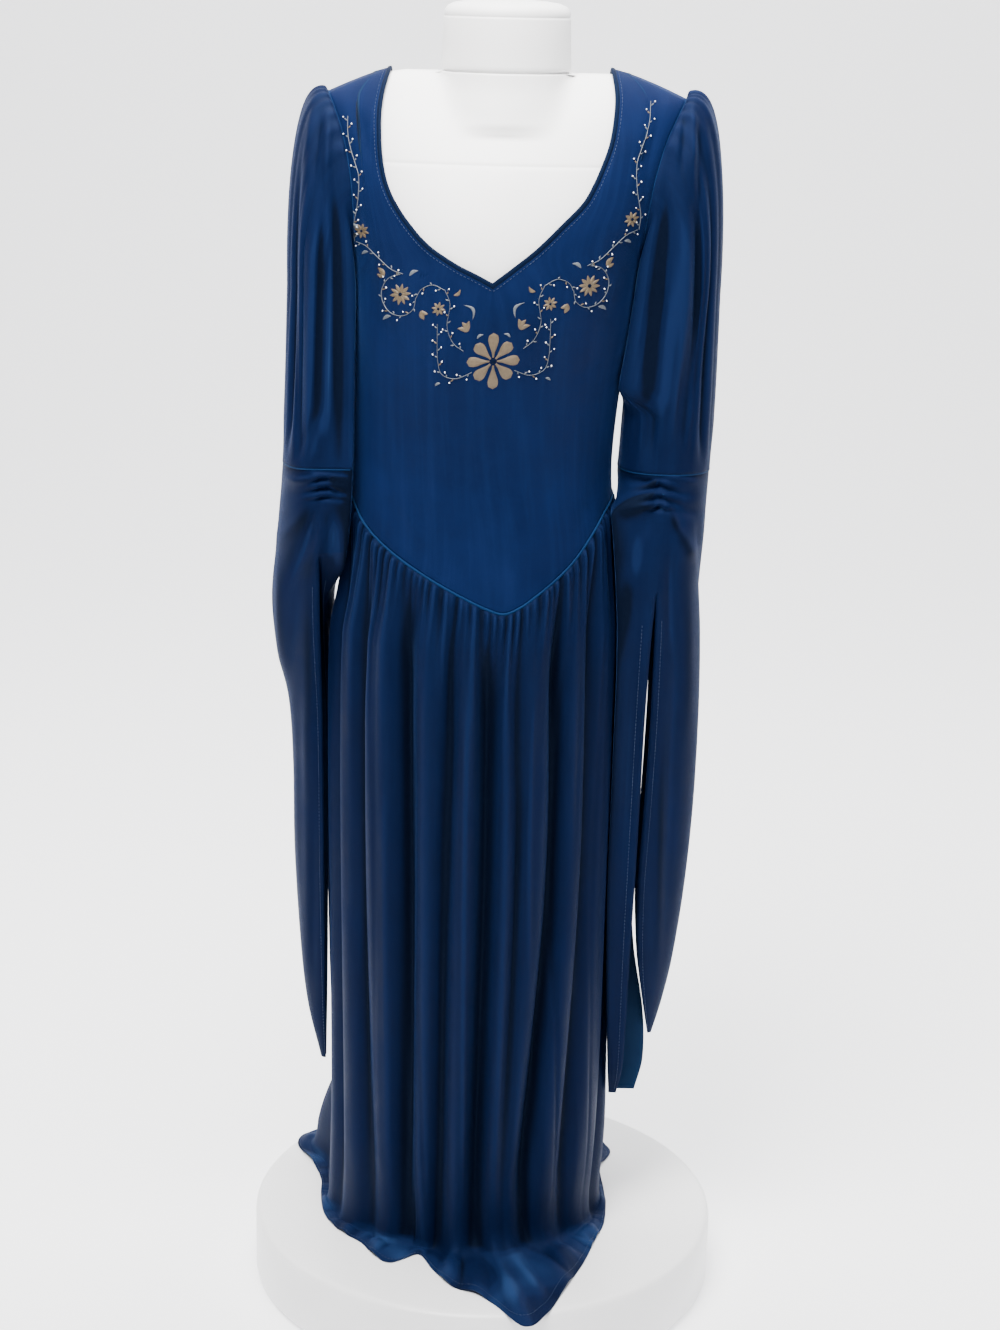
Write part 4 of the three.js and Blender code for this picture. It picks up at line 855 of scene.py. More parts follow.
SHEEN_PATCH_SIZES = (21, 26, 1.3)
LONG_CREASES = 64
SKIRT_COLUMNS = {True: 310, False: 250}
SKIRT_ROWS = {True: (48, 60, 28), False: (40, 44, 24)}
gather_draw = np.random.default_rng(GATHER_SEED)
gather_at = (np.arange(GATHERS) + gather_draw.uniform(-0.32, 0.32, GATHERS)) * 360 / GATHERS - 180
gather_lift = gather_draw.uniform(3.4, 7.8, GATHERS)
gather_fall = gather_draw.uniform(30, 80, GATHERS) * gather_draw.choice([1, 1, 1.6, 2.8], GATHERS)
gather_drift = gather_draw.normal(0, 0.9, GATHERS)
gather_width = gather_draw.uniform(0.78, 1.25, GATHERS)
crease_at = np.arange(LONG_CREASES) + gather_draw.uniform(-0.4, 0.4, LONG_CREASES)
crease_at = crease_at * 360 / LONG_CREASES - 180
crease_lift = gather_draw.uniform(-2.6, 2.2, LONG_CREASES)
crease_width = gather_draw.uniform(1.0, 2.3, LONG_CREASES)
crease_start = gather_draw.uniform(20, 260, LONG_CREASES)
crease_end = gather_draw.uniform(380, 1100, LONG_CREASES)
crease_sway = gather_draw.uniform(-2.6, 2.6, LONG_CREASES)


def turn_between(angle, place):
    return (angle - place + 180) % 360 - 180


def ridge_at(angle, place, width):
    """A soft ridge round the body: 1 at its place, less to either side."""
    return np.exp(-(turn_between(angle, place) / width) ** 2)


def each_fold(angle, height):
    """The long folds in turn, as their depth and how near each place is to their middle."""
    for top, middle, low, width, deep in SKIRT_FOLDS:
        place = between(list(zip(FOLD_LEVELS, (low, middle, top))), height, 1)
        yield deep, ridge_at(angle, place, width)


def fold_depth(angle, height):
    depth = -FOLD_CREST * np.ones_like(angle)
    for deep, near in each_fold(angle, height):
        depth = depth + deep * near
    return depth


def fold_shade(angle, points):
    """Extra shade down in the deepest folds."""
    shade = np.zeros(points.shape[:2])
    for deep, near in each_fold(angle, points[..., 2]):
        if deep >= DEEP_FOLD:
            shade = shade + DEEP_SHADE * near
    return shade * smooth((waist_height(angle) - points[..., 2]) / GATHER_FADE)


def gather_relief(angle, drop):
    """Ridges of the gathers close under the seam, and of the fine creases that run on below them."""
    off_side = (np.abs(turn_between(angle, 0)) - SIDE_PRESS_PLACE) / SIDE_PRESS_WIDTH
    press = 1 - SIDE_PRESS * np.exp(-off_side ** 2)
    lift = GATHER_PUFF * smooth(drop / PUFF_RISE) * np.exp(-drop / PUFF_FALL) * press
    sharp = smooth(drop / GATHER_RISE) * press
    for place, high, fall, drift, width in zip(
        gather_at, gather_lift, gather_fall, gather_drift, gather_width
    ):
        off = turn_between(angle, place + drift * drop / 90)
        spread = width * (1 + drop / 130)
        lift = lift + high * np.exp(-(off / spread) ** 2 - drop / fall) * sharp
    for place, high, width, start, end, sway in zip(
        crease_at, crease_lift, crease_width, crease_start, crease_end, crease_sway
    ):
        off = turn_between(angle, place + sway * np.sin(drop / CREASE_WAVE + place))
        run = smooth((drop - start) / 90) * smooth((end - drop) / 160)
        lift = lift + high * np.exp(-(off / width) ** 2) * run
    return lift


def hem_turn(x, y):
    """Direction of a point from the hem's centre, in degrees from the front."""
    return np.degrees(np.arctan2(x - HEM_CENTRE, -y))


def skirt_wall(angle, drop, height):
    """Point of the hanging skirt at an angle, a drop below the waist seam and a height."""
    point = body_point(angle, height)
    fold = fold_depth(angle, height) * smooth((drop + FOLD_LEAD) / FOLD_START) * (drop > 0)
    a = np.radians(angle)
    depth = np.where(np.cos(a) < 0, between(GIRTHS, height, BACK), between(GIRTHS, height, FRONT))
    across = np.sin(a) / between(GIRTHS, height, HALF)
    ahead = -np.cos(a) / depth
    size = np.hypot(across, ahead)
    lift = gather_relief(angle, drop) * smooth(height / 60 + 0.3) - fold
    point[..., 0] += across / size * lift
    point[..., 1] += ahead / size * lift
    flare = smooth((FLARE_HEIGHT - height) / (FLARE_HEIGHT - FOOT_HEIGHT))
    reach = np.hypot(point[..., 0] - HEM_CENTRE, point[..., 1])
    foot = between(HEM, hem_turn(point[..., 0], point[..., 1]), 1) - FOOT_FOLD * fold_depth(angle, height)
    aside = (hem_turn(point[..., 0], point[..., 1]) - REAR_FLAP[0]) / REAR_FLAP[1]
    early = 2 - REAR_FLAP[2] * np.exp(-aside ** 2)
    scale = 1 + (np.maximum(foot / reach, FOOT_TAPER) - 1) * flare ** early
    point[..., 0] = HEM_CENTRE + (point[..., 0] - HEM_CENTRE) * scale
    point[..., 1] = point[..., 1] * scale
    return point


def skirt_floor(angle, share):
    """Point of the cloth that lies on the stand, from the foot of the wall to the cut edge."""
    start = skirt_wall(angle, 1000 + 0 * angle, FOOT_HEIGHT + 0 * angle)
    out_x, out_y = start[..., 0] - HEM_CENTRE, start[..., 1]
    reach = np.hypot(out_x, out_y)
    direction = hem_turn(start[..., 0], start[..., 1])
    edge = np.maximum(between(HEM, direction, 2), reach + SPREAD_LEAST)
    scale = (reach + (edge - reach) * share) / reach
    x, y = HEM_CENTRE + out_x * scale, out_y * scale
    crest = smooth((CREST_LEVEL - fold_depth(angle, FOOT_HEIGHT + 0 * angle)) / CREST_RANGE)
    arch = np.sin(math.pi * np.clip(share, 0, 1)) ** HUMP_ROUND
    hump = between(HEM, direction, 3) * arch * (HUMP_LEAST + crest)
    fine, bend, broad = np.radians(angle)[None] * np.array(RIPPLE_WAVES)[:, None, None]
    ripple = RIPPLE_SIZES[0] * np.sin(fine + RIPPLE_SWAY * np.sin(bend))
    ripple = ripple + RIPPLE_SIZES[1] * np.sin(broad + share * RIPPLE_LAG)
    hump = hump + np.maximum(ripple, -RIPPLE_SINK) * np.clip(share, 0, 1) ** 0.7 * smooth(edge / 40 - 3.9)
    overhang = np.maximum(np.hypot(x, y) - RIM, 0)
    z = FLOOR_REST + np.maximum(hump, 0) - overhang * RIM_DROOP
    return np.stack([x, y, z], axis=-1)


def skirt_angles(is_front):
    u = np.linspace(-1, 1, SKIRT_COLUMNS[is_front] + 1)
    angle = 90 * u + WAIST_POINT_TURN * (1 - u * u) if is_front else 180 + 90 * u
    return np.where(angle > 180, angle - 360, angle)[None, :]


def skirt_shape(is_front):
    """Grid of a skirt panel, from its cut edge on the stand up to the waist seam."""
    angle = skirt_angles(is_front)
    waist = waist_height(angle)
    upper = np.linspace(0, 1, SKIRT_ROWS[is_front][0], endpoint=False)[:, None] ** ROW_EASE * GATHER_ZONE
    rows = [skirt_wall(angle + 0 * upper, upper + 0 * angle, waist - upper)]
    fall = np.linspace(0, 1, SKIRT_ROWS[is_front][1])[:, None]
    drop = GATHER_ZONE + (waist - GATHER_ZONE - FOOT_ROUND) * fall
    rows.append(skirt_wall(angle + 0 * drop, drop, waist - drop))
    turn = np.linspace(0, 1, TURN_ROWS)[1:, None]
    a = skirt_wall(angle, waist - FOOT_ROUND, FOOT_ROUND + 0 * angle)
    b = skirt_wall(angle, waist - FOOT_HEIGHT, FOOT_HEIGHT * TURN_DROP + 0 * angle)
    c = skirt_floor(angle, LYING_START + 0 * angle)
    t = turn[..., None]
    rows.append(a * (1 - t) ** 2 + b * 2 * t * (1 - t) + c * t ** 2)
    share = np.linspace(LYING_START, 1, SKIRT_ROWS[is_front][2])[1:, None]
    rows.append(skirt_floor(angle + 0 * share, share + 0 * angle))
    points = np.concatenate(rows)
    points[..., 1] += -SEAM_SHIFT if is_front else SEAM_SHIFT
    return points[::-1]


skirt_shapes = {}
for is_front, panel in ((True, "skirt_front"), (False, "skirt_back")):
    shape = skirt_shape(is_front)
    skirt_shapes[panel] = shape
    # The fold mark gets painted shade down the deepest folds and patches of painted sheen where the hem lies
    # on the stand.
    lying = smooth((LYING_HEIGHT - shape[..., 2]) / 8)
    across, ahead, sway = SHEEN_PATCH_SIZES
    sheen_patches = 0.5 + 0.5 * np.sin(shape[..., 0] / across + sway * np.sin(shape[..., 1] / ahead))
    painted_shade_and_sheen = fold_shade(skirt_angles(is_front), shape) * (1 - lying) - LYING_SHEEN * lying * sheen_patches
    piece = cloth_piece("velvet_" + panel, shape, velvet_skirt, painted_shade_and_sheen=painted_shade_and_sheen)
    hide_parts(panel)


# Waist seam. The overlocked seam shows as a narrow raised cord of the same velvet in a lighter colour,
# between the smooth bodice and the gathers.
SEAM_CORD = 1.7
SEAM_STEPS = 720
SEAM_SIDES = 8
SEAM_LIFT = 0.8
SEAM_FLATNESS = 0.8


def tube_points(path, outward, half_wide, half_thick, sides):
    """Rings of points round a closed path, flattened against the cloth that it lies on."""
    along = np.roll(path, -1, axis=0) - np.roll(path, 1, axis=0)
    along = along / np.linalg.norm(along, axis=1, keepdims=True)
    outward = outward - along * (outward * along).sum(axis=1, keepdims=True)
    outward = outward / np.linalg.norm(outward, axis=1, keepdims=True)
    beside = np.cross(along, outward)
    turn = np.linspace(0, 2 * math.pi, sides, endpoint=False)
    rings = path[:, None, :] + beside[:, None, :] * (half_wide * np.cos(turn))[None, :, None]
    return rings + outward[:, None, :] * (half_thick * np.sin(turn))[None, :, None]


def closed_tube(name, rings):
    """Mesh of a cord that runs all round and meets itself, with its map along its length."""
    rows, sides = rings.shape[:2]
    index = np.pad(np.arange(rows * sides).reshape(rows, sides), ((0, 1), (0, 1)), mode="wrap")
    mesh = mesh_of(name, to_metres(rings), quads_of(index))
    length = np.linalg.norm(np.roll(rings[:, 0], -1, axis=0) - rings[:, 0], axis=1)
    run = np.concatenate([[0], np.cumsum(length)]) / 1000
    flat = np.stack(np.broadcast_arrays(np.arange(sides + 1)[None, :] * 0.001, run[:, None]), axis=-1)
    corner = quads_of(np.arange((rows + 1) * (sides + 1)).reshape(rows + 1, sides + 1))
    put_map(mesh, flat.reshape(-1, 2)[corner])
    return mesh


seam_angle = np.linspace(-180, 180, SEAM_STEPS, endpoint=False)
seam_height = waist_height(seam_angle)
seam_path = body_point(seam_angle, seam_height)
seam_turn = np.radians(seam_angle)
seam_out = np.stack([np.sin(seam_turn), -np.cos(seam_turn), 0 * seam_turn], axis=-1)
seam_path = seam_path + seam_out * SEAM_LIFT
seam_rings = tube_points(seam_path, seam_out, SEAM_CORD, SEAM_CORD * SEAM_FLATNESS, SEAM_SIDES)
seam_mesh = closed_tube("waist_seam", seam_rings)
seam_piece = add_object("waist_seam", seam_mesh)
velvet_lighter_cord = velvet_material(
    "lighter_cord_velvet", (0.004, 0.020, 0.064), (0.009, 0.034, 0.092), (0.002, 0.012, 0.044),
    sheen=0.10, glow=(0.2, 0.5, 0.95),
)
seam_mesh.materials.append(velvet_lighter_cord)
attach(seam_piece, "root")


# Neck binding. A narrow bias strip of dark blue satin folded over the neck edge and sewn down all round.
BINDING_HALF_WIDTH = 2.9
BINDING_HALF_THICKNESS = 1.5
BINDING_LAP = 1.6
BINDING_SIDES = 12
BINDING_STEPS = 84
BINDING_LIFT = 0.3


def neck_edge(is_front):
    """Points along a panel's neck edge from its left shoulder, with the normals and the ways off it."""
    share = np.linspace(-NECK_SHARE, NECK_SHARE, 2 * BINDING_STEPS + 1)[None, :]
    strip = np.array([0.985, 0.9925, 1.0])[:, None]
    points = bodice_grid(share + 0 * strip, strip + 0 * share, is_front)
    normal = surface_normals(points)[-1]
    edge = points[-1]
    along = np.gradient(edge, axis=0)
    away = np.cross(normal, along)
    away = away / np.linalg.norm(away, axis=1, keepdims=True)
    away = np.where((away * (edge - points[0])).sum(axis=1, keepdims=True) < 0, -away, away)
    return edge, normal, away


front_edge, front_normal, front_away = neck_edge(True)
back_edge, back_normal, back_away = neck_edge(False)
neck_path = np.concatenate([front_edge[:-1], back_edge[:-1]])
neck_out = np.concatenate([front_normal[:-1], back_normal[:-1]])
neck_away = np.concatenate([front_away[:-1], back_away[:-1]])
for _ in range(3):
    neck_out = (np.roll(neck_out, 1, axis=0) + neck_out + np.roll(neck_out, -1, axis=0)) / 3
    neck_away = (np.roll(neck_away, 1, axis=0) + neck_away + np.roll(neck_away, -1, axis=0)) / 3
neck_path = neck_path + neck_away * BINDING_LAP + neck_out * BINDING_LIFT
binding_mesh = closed_tube(
    "neck_binding_strip",
    tube_points(neck_path, neck_out, BINDING_HALF_WIDTH, BINDING_HALF_THICKNESS, BINDING_SIDES),
)
binding_piece = add_object("neck_binding_strip", binding_mesh)
binding_satin = velvet_material(
    "binding_satin", (0.0008, 0.0035, 0.014), (0.002, 0.009, 0.03), (0.0005, 0.002, 0.009),
    sheen=0.05, glow=(0.3, 0.5, 1.0),
)
binding_mesh.materials.append(binding_satin)
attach(binding_piece, "root")
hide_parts("neck_binding")


# Embroidery. Vines, leaves and open flowers in matt gold thread lie round the front of the neck, mirrored
# about its middle, with pale leaflets and small round silvery beads sewn between them.
EMBROIDERY_MIDDLE = -10
EMBROIDERY_TILT = 0.07
CLOTH_FACE = 0.62
VINES = [
    # places along a vine, as reach from the middle and height
    [(24, 1111), (42, 1104), (58, 1109), (63, 1124), (64, 1145), (64, 1168)],
    [(34, 1136), (46, 1146), (53, 1165), (50, 1190), (56, 1206)],
    [(56, 1206), (70, 1212), (83, 1207), (89, 1197)],
    [(89, 1198), (92, 1185), (103, 1177), (117, 1179), (127, 1190), (129, 1205), (121, 1219), (107, 1224)],
    [(104, 1224), (118, 1229), (133, 1241), (148, 1253), (161, 1257)],
    [(163, 1257), (164, 1275), (159, 1303), (158, 1330), (163, 1347), (168, 1361), (172, 1378), (173, 1398)],
]
VINE_HALF_WIDTH = 0.34
VINE_STEP = 1.6
BLUNT_DENT = 0.11
LEAFLET_STEP = 8.6
FLOWERS = [
    # reach, height, petals, their length and width, half width of the middle
    (0, 1123, 8, 29, 14.5, 3.0), (63, 1185, 8, 8.2, 3.6, 1.7), (107, 1201, 10, 12.5, 4.6, 2.3),
    (154, 1270, 8, 9.0, 4.0, 1.9),
]
LEAVES = [
    # reach, height, direction in degrees, length, width, bow, is pale
    (30, 1158, 62, 13, 6, 1.5, False), (30, 1158, 100, 13, 6, -1.0, False),
    (30, 1158, 22, 12, 5, 1.5, False), (24, 1172, 58, 20, 3.6, 6.5, True),
    (19, 1150, 150, 9, 3, -1.6, True), (83, 1183, 250, 11, 6, 1.0, False),
    (83, 1183, 205, 9, 4.6, 1.0, False), (126, 1221, 50, 12, 6, 1.0, False),
    (126, 1221, 12, 9, 4.4, -1.0, False), (118, 1176, 330, 11, 4, 1.5, True),
    (97, 1222, 150, 12, 4, -2.0, True), (46, 1200, 140, 10, 4, 2.0, False),
    (146, 1247, 335, 9, 3.6, 1.2, True), (60, 1099, 330, 7, 3, 1.0, True),
]
THREAD_RISE = 0.85
EYE_RISE = 0.3
VINE_RISE = 0.7
LEAFLET_TURN = 52
BEAD_RADIUS = 1.0
BEAD_REACH = 6.2
front_sheet = bodice_shape["bodice_front"]
front_quads = quads_of(np.arange(front_sheet.shape[0] * front_sheet.shape[1]).reshape(front_sheet.shape[:2]))
front_tree = BVHTree.FromPolygons(front_sheet.reshape(-1, 3).tolist(), front_quads.tolist())


def on_front(places, lift):
    """Points on the front of the bodice at reaches and heights, lifted off its middle surface."""
    lift = np.broadcast_to(lift, places.shape[:-1]).reshape(-1)
    points, normals = [], []
    for (x, height), rise in zip(places.reshape(-1, 2), lift):
        hit, normal, _, _ = front_tree.ray_cast(Vector((x, -400, height)), Vector((0, 1, 0)))
        if hit is None:
            hit, normal, _, _ = front_tree.find_nearest(Vector((x, -60, height)))
        if normal.y > 0:
            normal = -normal
        points.append(hit + normal * float(rise))
        normals.append(normal)
    shape = (*places.shape[:-1], 3)
    return np.array(points).reshape(shape), np.array(normals).reshape(shape)


def laid_out(places, hand):
    """Moves places from one half of the design to their side of the bodice, with its slight tilt."""
    x = places[..., 0] * hand
    return np.stack([EMBROIDERY_MIDDLE + x, places[..., 1] + EMBROIDERY_TILT * x], axis=-1)


def leaf_places(reach, height, direction, length, width, bow, is_blunt=False):
    """Places of a stitched leaf or petal from its foot, and the rise of its thread over the cloth."""
    t = np.linspace(0, 1, 11)[:, None]
    across = np.linspace(-1, 1, 7)[None, :]
    if is_blunt:
        half = width / 2 * (0.16 + 0.84 * smooth(t / 0.78)) * np.sqrt(1 - t ** 9)
    else:
        half = width / 2 * np.sin(math.pi * t ** 0.85) ** 0.85
    side = across * half + bow * np.sin(math.pi * t)
    turn = math.radians(direction)
    x = reach + t * length * math.cos(turn) - side * math.sin(turn)
    y = height + t * length * math.sin(turn) + side * math.cos(turn)
    if is_blunt:
        dent = BLUNT_DENT * length * t ** 4 * (1 - np.abs(across))
        x, y = x - dent * math.cos(turn), y - dent * math.sin(turn)
    places = np.stack([x, y + 0 * across], axis=-1)
    lift = CLOTH_FACE + THREAD_RISE * np.sqrt(np.maximum(1 - across ** 2, 0)) * np.minimum(half * 1.2, 1)
    return places, lift


def smooth_line(places, step):
    """A soft curve through places, as evenly spaced points."""
    keys = np.arange(len(places), dtype=float)
    fine = np.linspace(0, keys[-1], 200)
    rows = [(key, *place) for key, place in zip(keys, places)]
    curve = np.stack([between(rows, fine, column) for column in (1, 2)], axis=-1)
    run = np.concatenate([[0], np.cumsum(np.linalg.norm(np.diff(curve, axis=0), axis=1))])
    at = np.linspace(0, run[-1], max(int(run[-1] / step), 2) + 1)
    return np.stack([np.interp(at, run, curve[:, c]) for c in (0, 1)], axis=-1)


def patch_object(name, patches, material):
    """One object of many small sheets, each a grid of points in millimetres, with a map in metres."""
    points, quads, flats = [], [], []
    count = 0
    for grid in patches:
        rows, columns = grid.shape[:2]
        quad = quads_of(np.arange(rows * columns).reshape(rows, columns) + count)
        count += rows * columns
        middle = grid[rows // 2, columns // 2]
        facing = np.cross(grid[rows // 2, -1] - middle, grid[-1, columns // 2] - middle)
        flat = lay_uv(grid)
        if facing[1] > 0:
            quad, flat = quad[:, ::-1], flat[:, ::-1]
        points.append(grid.reshape(-1, 3))
        quads.append(quad)
        flats.append(flat)
    mesh = mesh_of(name, to_metres(np.concatenate(points)), np.concatenate(quads))
    put_map(mesh, np.concatenate(flats))
    mesh.materials.append(material)
    piece = add_object(name, mesh)
    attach(piece, "root")
    return piece


def thread_material(name, colour, dark, metal):
    """Satin stitch: fine parallel threads that catch the light, a little uneven in tone."""
    material, tree, shader = new_material(name)
    links = tree.links
    grain = node_at(tree, "ShaderNodeUVMap", uv_map="grain")
    threads = node_at(tree, "ShaderNodeTexWave", Scale=520.0, Distortion=1.2, Detail=1.0)
    links.new(grain.outputs["UV"], threads.inputs["Vector"])
    place = tree.nodes.new("ShaderNodeTexCoord")
    cloud = node_at(tree, "ShaderNodeTexNoise", Scale=260.0, Detail=3.0)
    links.new(place.outputs["Object"], cloud.inputs["Vector"])
    blend = tree.nodes.new("ShaderNodeMix")
    blend.data_type = "RGBA"
    blend.inputs[6].default_value = (*dark, 1)
    blend.inputs[7].default_value = (*colour, 1)
    tone = node_at(tree, "ShaderNodeMath", operation="MULTIPLY_ADD")
    tone.inputs[1].default_value = 0.45
    links.new(threads.outputs["Fac"], tone.inputs[0])
    links.new(cloud.outputs["Fac"], tone.inputs[2])
    links.new(tone.outputs["Value"], blend.inputs["Factor"])
    links.new(blend.outputs[2], shader.inputs["Base Color"])
    bump = node_at(tree, "ShaderNodeBump", Strength=0.5, Distance=0.0003)
    links.new(threads.outputs["Fac"], bump.inputs["Height"])
    links.new(bump.outputs["Normal"], shader.inputs["Normal"])
    shader.inputs["Metallic"].default_value = metal
    shader.inputs["Roughness"].default_value = 0.5
    return material


def repeat_tree(name, is_bead):
    """Sets one small bead or stitch on each point of a mesh, a little uneven in size."""
    tree = bpy.data.node_groups.new(name, "GeometryNodeTree")
    make = tree.interface.new_socket
    kinds = {"Geometry": "Geometry", "Radius": "Float", "Length": "Float", "Material": "Material"}
    for socket, kind in kinds.items():
        make(socket, in_out="INPUT", socket_type="NodeSocket" + kind)
    make("Geometry", in_out="OUTPUT", socket_type="NodeSocketGeometry")
    entry = tree.nodes.new("NodeGroupInput")
    leave = tree.nodes.new("NodeGroupOutput")
    links = tree.links
    if is_bead:
        shape = node_at(tree, "GeometryNodeMeshUVSphere", Segments=10, Rings=6)
    else:
        shape = node_at(tree, "GeometryNodeMeshCylinder", Vertices=6)
        links.new(entry.outputs["Length"], shape.inputs["Depth"])
    links.new(entry.outputs["Radius"], shape.inputs["Radius"])
    setter = tree.nodes.new("GeometryNodeSetShadeSmooth")
    links.new(shape.outputs["Mesh"], setter.inputs["Geometry"])
    size = node_at(tree, "FunctionNodeRandomValue", data_type="FLOAT", Seed=5)
    size.inputs[2].default_value = 0.86
    size.inputs[3].default_value = 1.12
    turn = node_at(tree, "GeometryNodeInputNamedAttribute", data_type="FLOAT_VECTOR", Name="turn")
    each = tree.nodes.new("GeometryNodeInstanceOnPoints")
    links.new(entry.outputs["Geometry"], each.inputs["Points"])
    links.new(setter.outputs["Geometry"], each.inputs["Instance"])
    links.new(turn.outputs["Attribute"], each.inputs["Rotation"])
    links.new(size.outputs[1], each.inputs["Scale"])
    real = tree.nodes.new("GeometryNodeRealizeInstances")
    links.new(each.outputs["Instances"], real.inputs["Geometry"])
    paint = tree.nodes.new("GeometryNodeSetMaterial")
    links.new(real.outputs["Geometry"], paint.inputs["Geometry"])
    links.new(entry.outputs["Material"], paint.inputs["Material"])
    links.new(paint.outputs["Geometry"], leave.inputs["Geometry"])
    return tree


bead_tree = repeat_tree("sewn_beads", True)
stitch_tree = repeat_tree("sewn_stitches", False)


def sewn_row(name, tree, points, along, outward, radius, length, material):
    """Beads or stitches at points, each turned along its row and flat to the cloth."""
    turns = []
    for run, out in zip(along, outward):
        forward = Vector(run).normalized()
        up = Vector(out)
        up = (up - forward * up.dot(forward)).normalized()
        turns.append(Matrix((up.cross(forward), up, forward)).transposed().to_euler())
    mesh = bpy.data.meshes.new(name)
    mesh.from_pydata(to_metres(np.array(points)).tolist(), [], [])
    layer = mesh.attributes.new("turn", "FLOAT_VECTOR", "POINT")
    layer.data.foreach_set("vector", np.array([tuple(turn) for turn in turns], dtype=np.float32).reshape(-1))
    piece = add_object(name, mesh)
    repeat = piece.modifiers.new("repeat", "NODES")
    repeat.node_group = tree
    wanted = {"Radius": radius / 1000, "Length": length / 1000, "Material": material}
    for item in tree.interface.items_tree:
        if item.in_out == "INPUT" and item.name in wanted:
            repeat[item.identifier] = wanted[item.name]
    bpy.context.view_layer.update()
    seen = piece.evaluated_get(bpy.context.evaluated_depsgraph_get())
    made = bpy.data.meshes.new_from_object(seen)
    piece.modifiers.clear()
    piece.data = made
    made.name = name
    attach(piece, "root")
    return piece


gold_thread = thread_material("gold_thread", (0.118, 0.082, 0.044), (0.058, 0.040, 0.022), 0.10)
pale_thread = thread_material("pale_thread", (0.105, 0.12, 0.135), (0.05, 0.058, 0.072), 0.12)
gold_patches, pale_patches, eyes, bead_points, bead_normals = [], [], [], [], []
for hand in (-1, 1):
    for reach, height, petals, length, width, eye in FLOWERS:
        if reach == 0 and hand > 0:
            continue
        is_large = petals * length > 200
        for i in range(petals):
            direction = 360 / petals * i + 90 + (0 if is_large else 11)
            own = length * (1.0 if i % 2 else 1.04 + 0.1 * (i % 4 == 0)) if is_large else length
            foot = 0.14 if is_large else 0.1
            start_x = reach + foot * own * math.cos(math.radians(direction))
            start_y = height + foot * own * math.sin(math.radians(direction))
            places, lift = leaf_places(
                start_x, start_y, direction, own * (1 - foot), width * (0.94 if i % 2 else 0.86), 0, is_large
            )
            gold_patches.append(on_front(laid_out(places, hand), lift)[0])
        ring = np.linspace(0, 2 * math.pi, 13)[None, :]
        grow = np.linspace(0.02, 1, 5)[:, None]
        disc = np.stack([reach + eye * grow * np.cos(ring), height + eye * grow * np.sin(ring)], axis=-1)
        dome = CLOTH_FACE + EYE_RISE + np.sqrt(1 - grow ** 2) + 0 * ring
        eyes.append(on_front(laid_out(disc, hand), dome)[0])
    for reach, height, direction, length, width, bow, is_pale in LEAVES:
        places, lift = leaf_places(reach, height, direction, length, width, bow)
        (pale_patches if is_pale else gold_patches).append(on_front(laid_out(places, hand), lift)[0])
    for number, vine in enumerate(VINES):
        line = smooth_line(vine, VINE_STEP)
        course = np.gradient(line, axis=0)
        course = course / np.linalg.norm(course, axis=1, keepdims=True)
        beside = np.stack([-course[:, 1], course[:, 0]], axis=-1)
        section = np.linspace(-1, 1, 5)[None, :, None]
        strip = line[:, None, :] + beside[:, None, :] * section * VINE_HALF_WIDTH
        rise = CLOTH_FACE + VINE_RISE * np.sqrt(np.maximum(1 - section[..., 0] ** 2, 0)) + 0 * strip[..., 0]
        pale_patches.append(on_front(laid_out(strip, hand), rise)[0])
        size = np.linalg.norm(np.diff(line, axis=0), axis=1).sum()
        count = int(size / LEAFLET_STEP)
        for i in range(count):
            k = int((i + 0.6) / count * (len(line) - 1))
            turn = 1 if (i + number) % 2 else -1
            lean = math.degrees(math.atan2(course[k, 1], course[k, 0])) + LEAFLET_TURN * turn
            x, y = line[k]
            places, lift = leaf_places(x, y, lean, 4.2 + 0.8 * ((i * 7 + number) % 3 - 1), 1.5, 0.5 * turn)
            is_pale = i % 3 != 2
            (pale_patches if is_pale else gold_patches).append(on_front(laid_out(places, hand), lift)[0])
            if i % 3 != 1 or number in (0, 5):
                ahead = math.radians(lean)
                tip = np.array([[x + BEAD_REACH * math.cos(ahead), y + BEAD_REACH * math.sin(ahead)]])
                spot, out = on_front(laid_out(tip, hand), CLOTH_FACE + BEAD_RADIUS * 0.8)
                bead_points.append(spot[0])
                bead_normals.append(out[0])
embroidery = [
    patch_object("embroidery_gold", gold_patches, gold_thread),
    patch_object("embroidery_pale", pale_patches, pale_thread),
    patch_object("embroidery_eyes", eyes, binding_satin),
]
bead_glass, bead_shader_tree, bead_shader = new_material("silvery_bead")
bead_cloud = node_at(bead_shader_tree, "ShaderNodeTexNoise", Scale=300.0, Detail=1.0)
bead_place = bead_shader_tree.nodes.new("ShaderNodeTexCoord")
bead_shader_tree.links.new(bead_place.outputs["Object"], bead_cloud.inputs["Vector"])
bead_tone = ranged(bead_shader_tree, bead_cloud.outputs["Fac"], 0.0, 1.0, 0.14, 0.34)
bead_shader_tree.links.new(bead_tone, bead_shader.inputs["Roughness"])
bead_shader.inputs["Base Color"].default_value = (0.86, 0.87, 0.88, 1)
bead_shader.inputs["Metallic"].default_value = 0.55
bead_up = [(0.0, 0.0, 1.0)] * len(bead_points)
embroidery_beads = sewn_row(
    "embroidery_beads", bead_tree, bead_points, bead_up, bead_normals, BEAD_RADIUS, 1, bead_glass
)


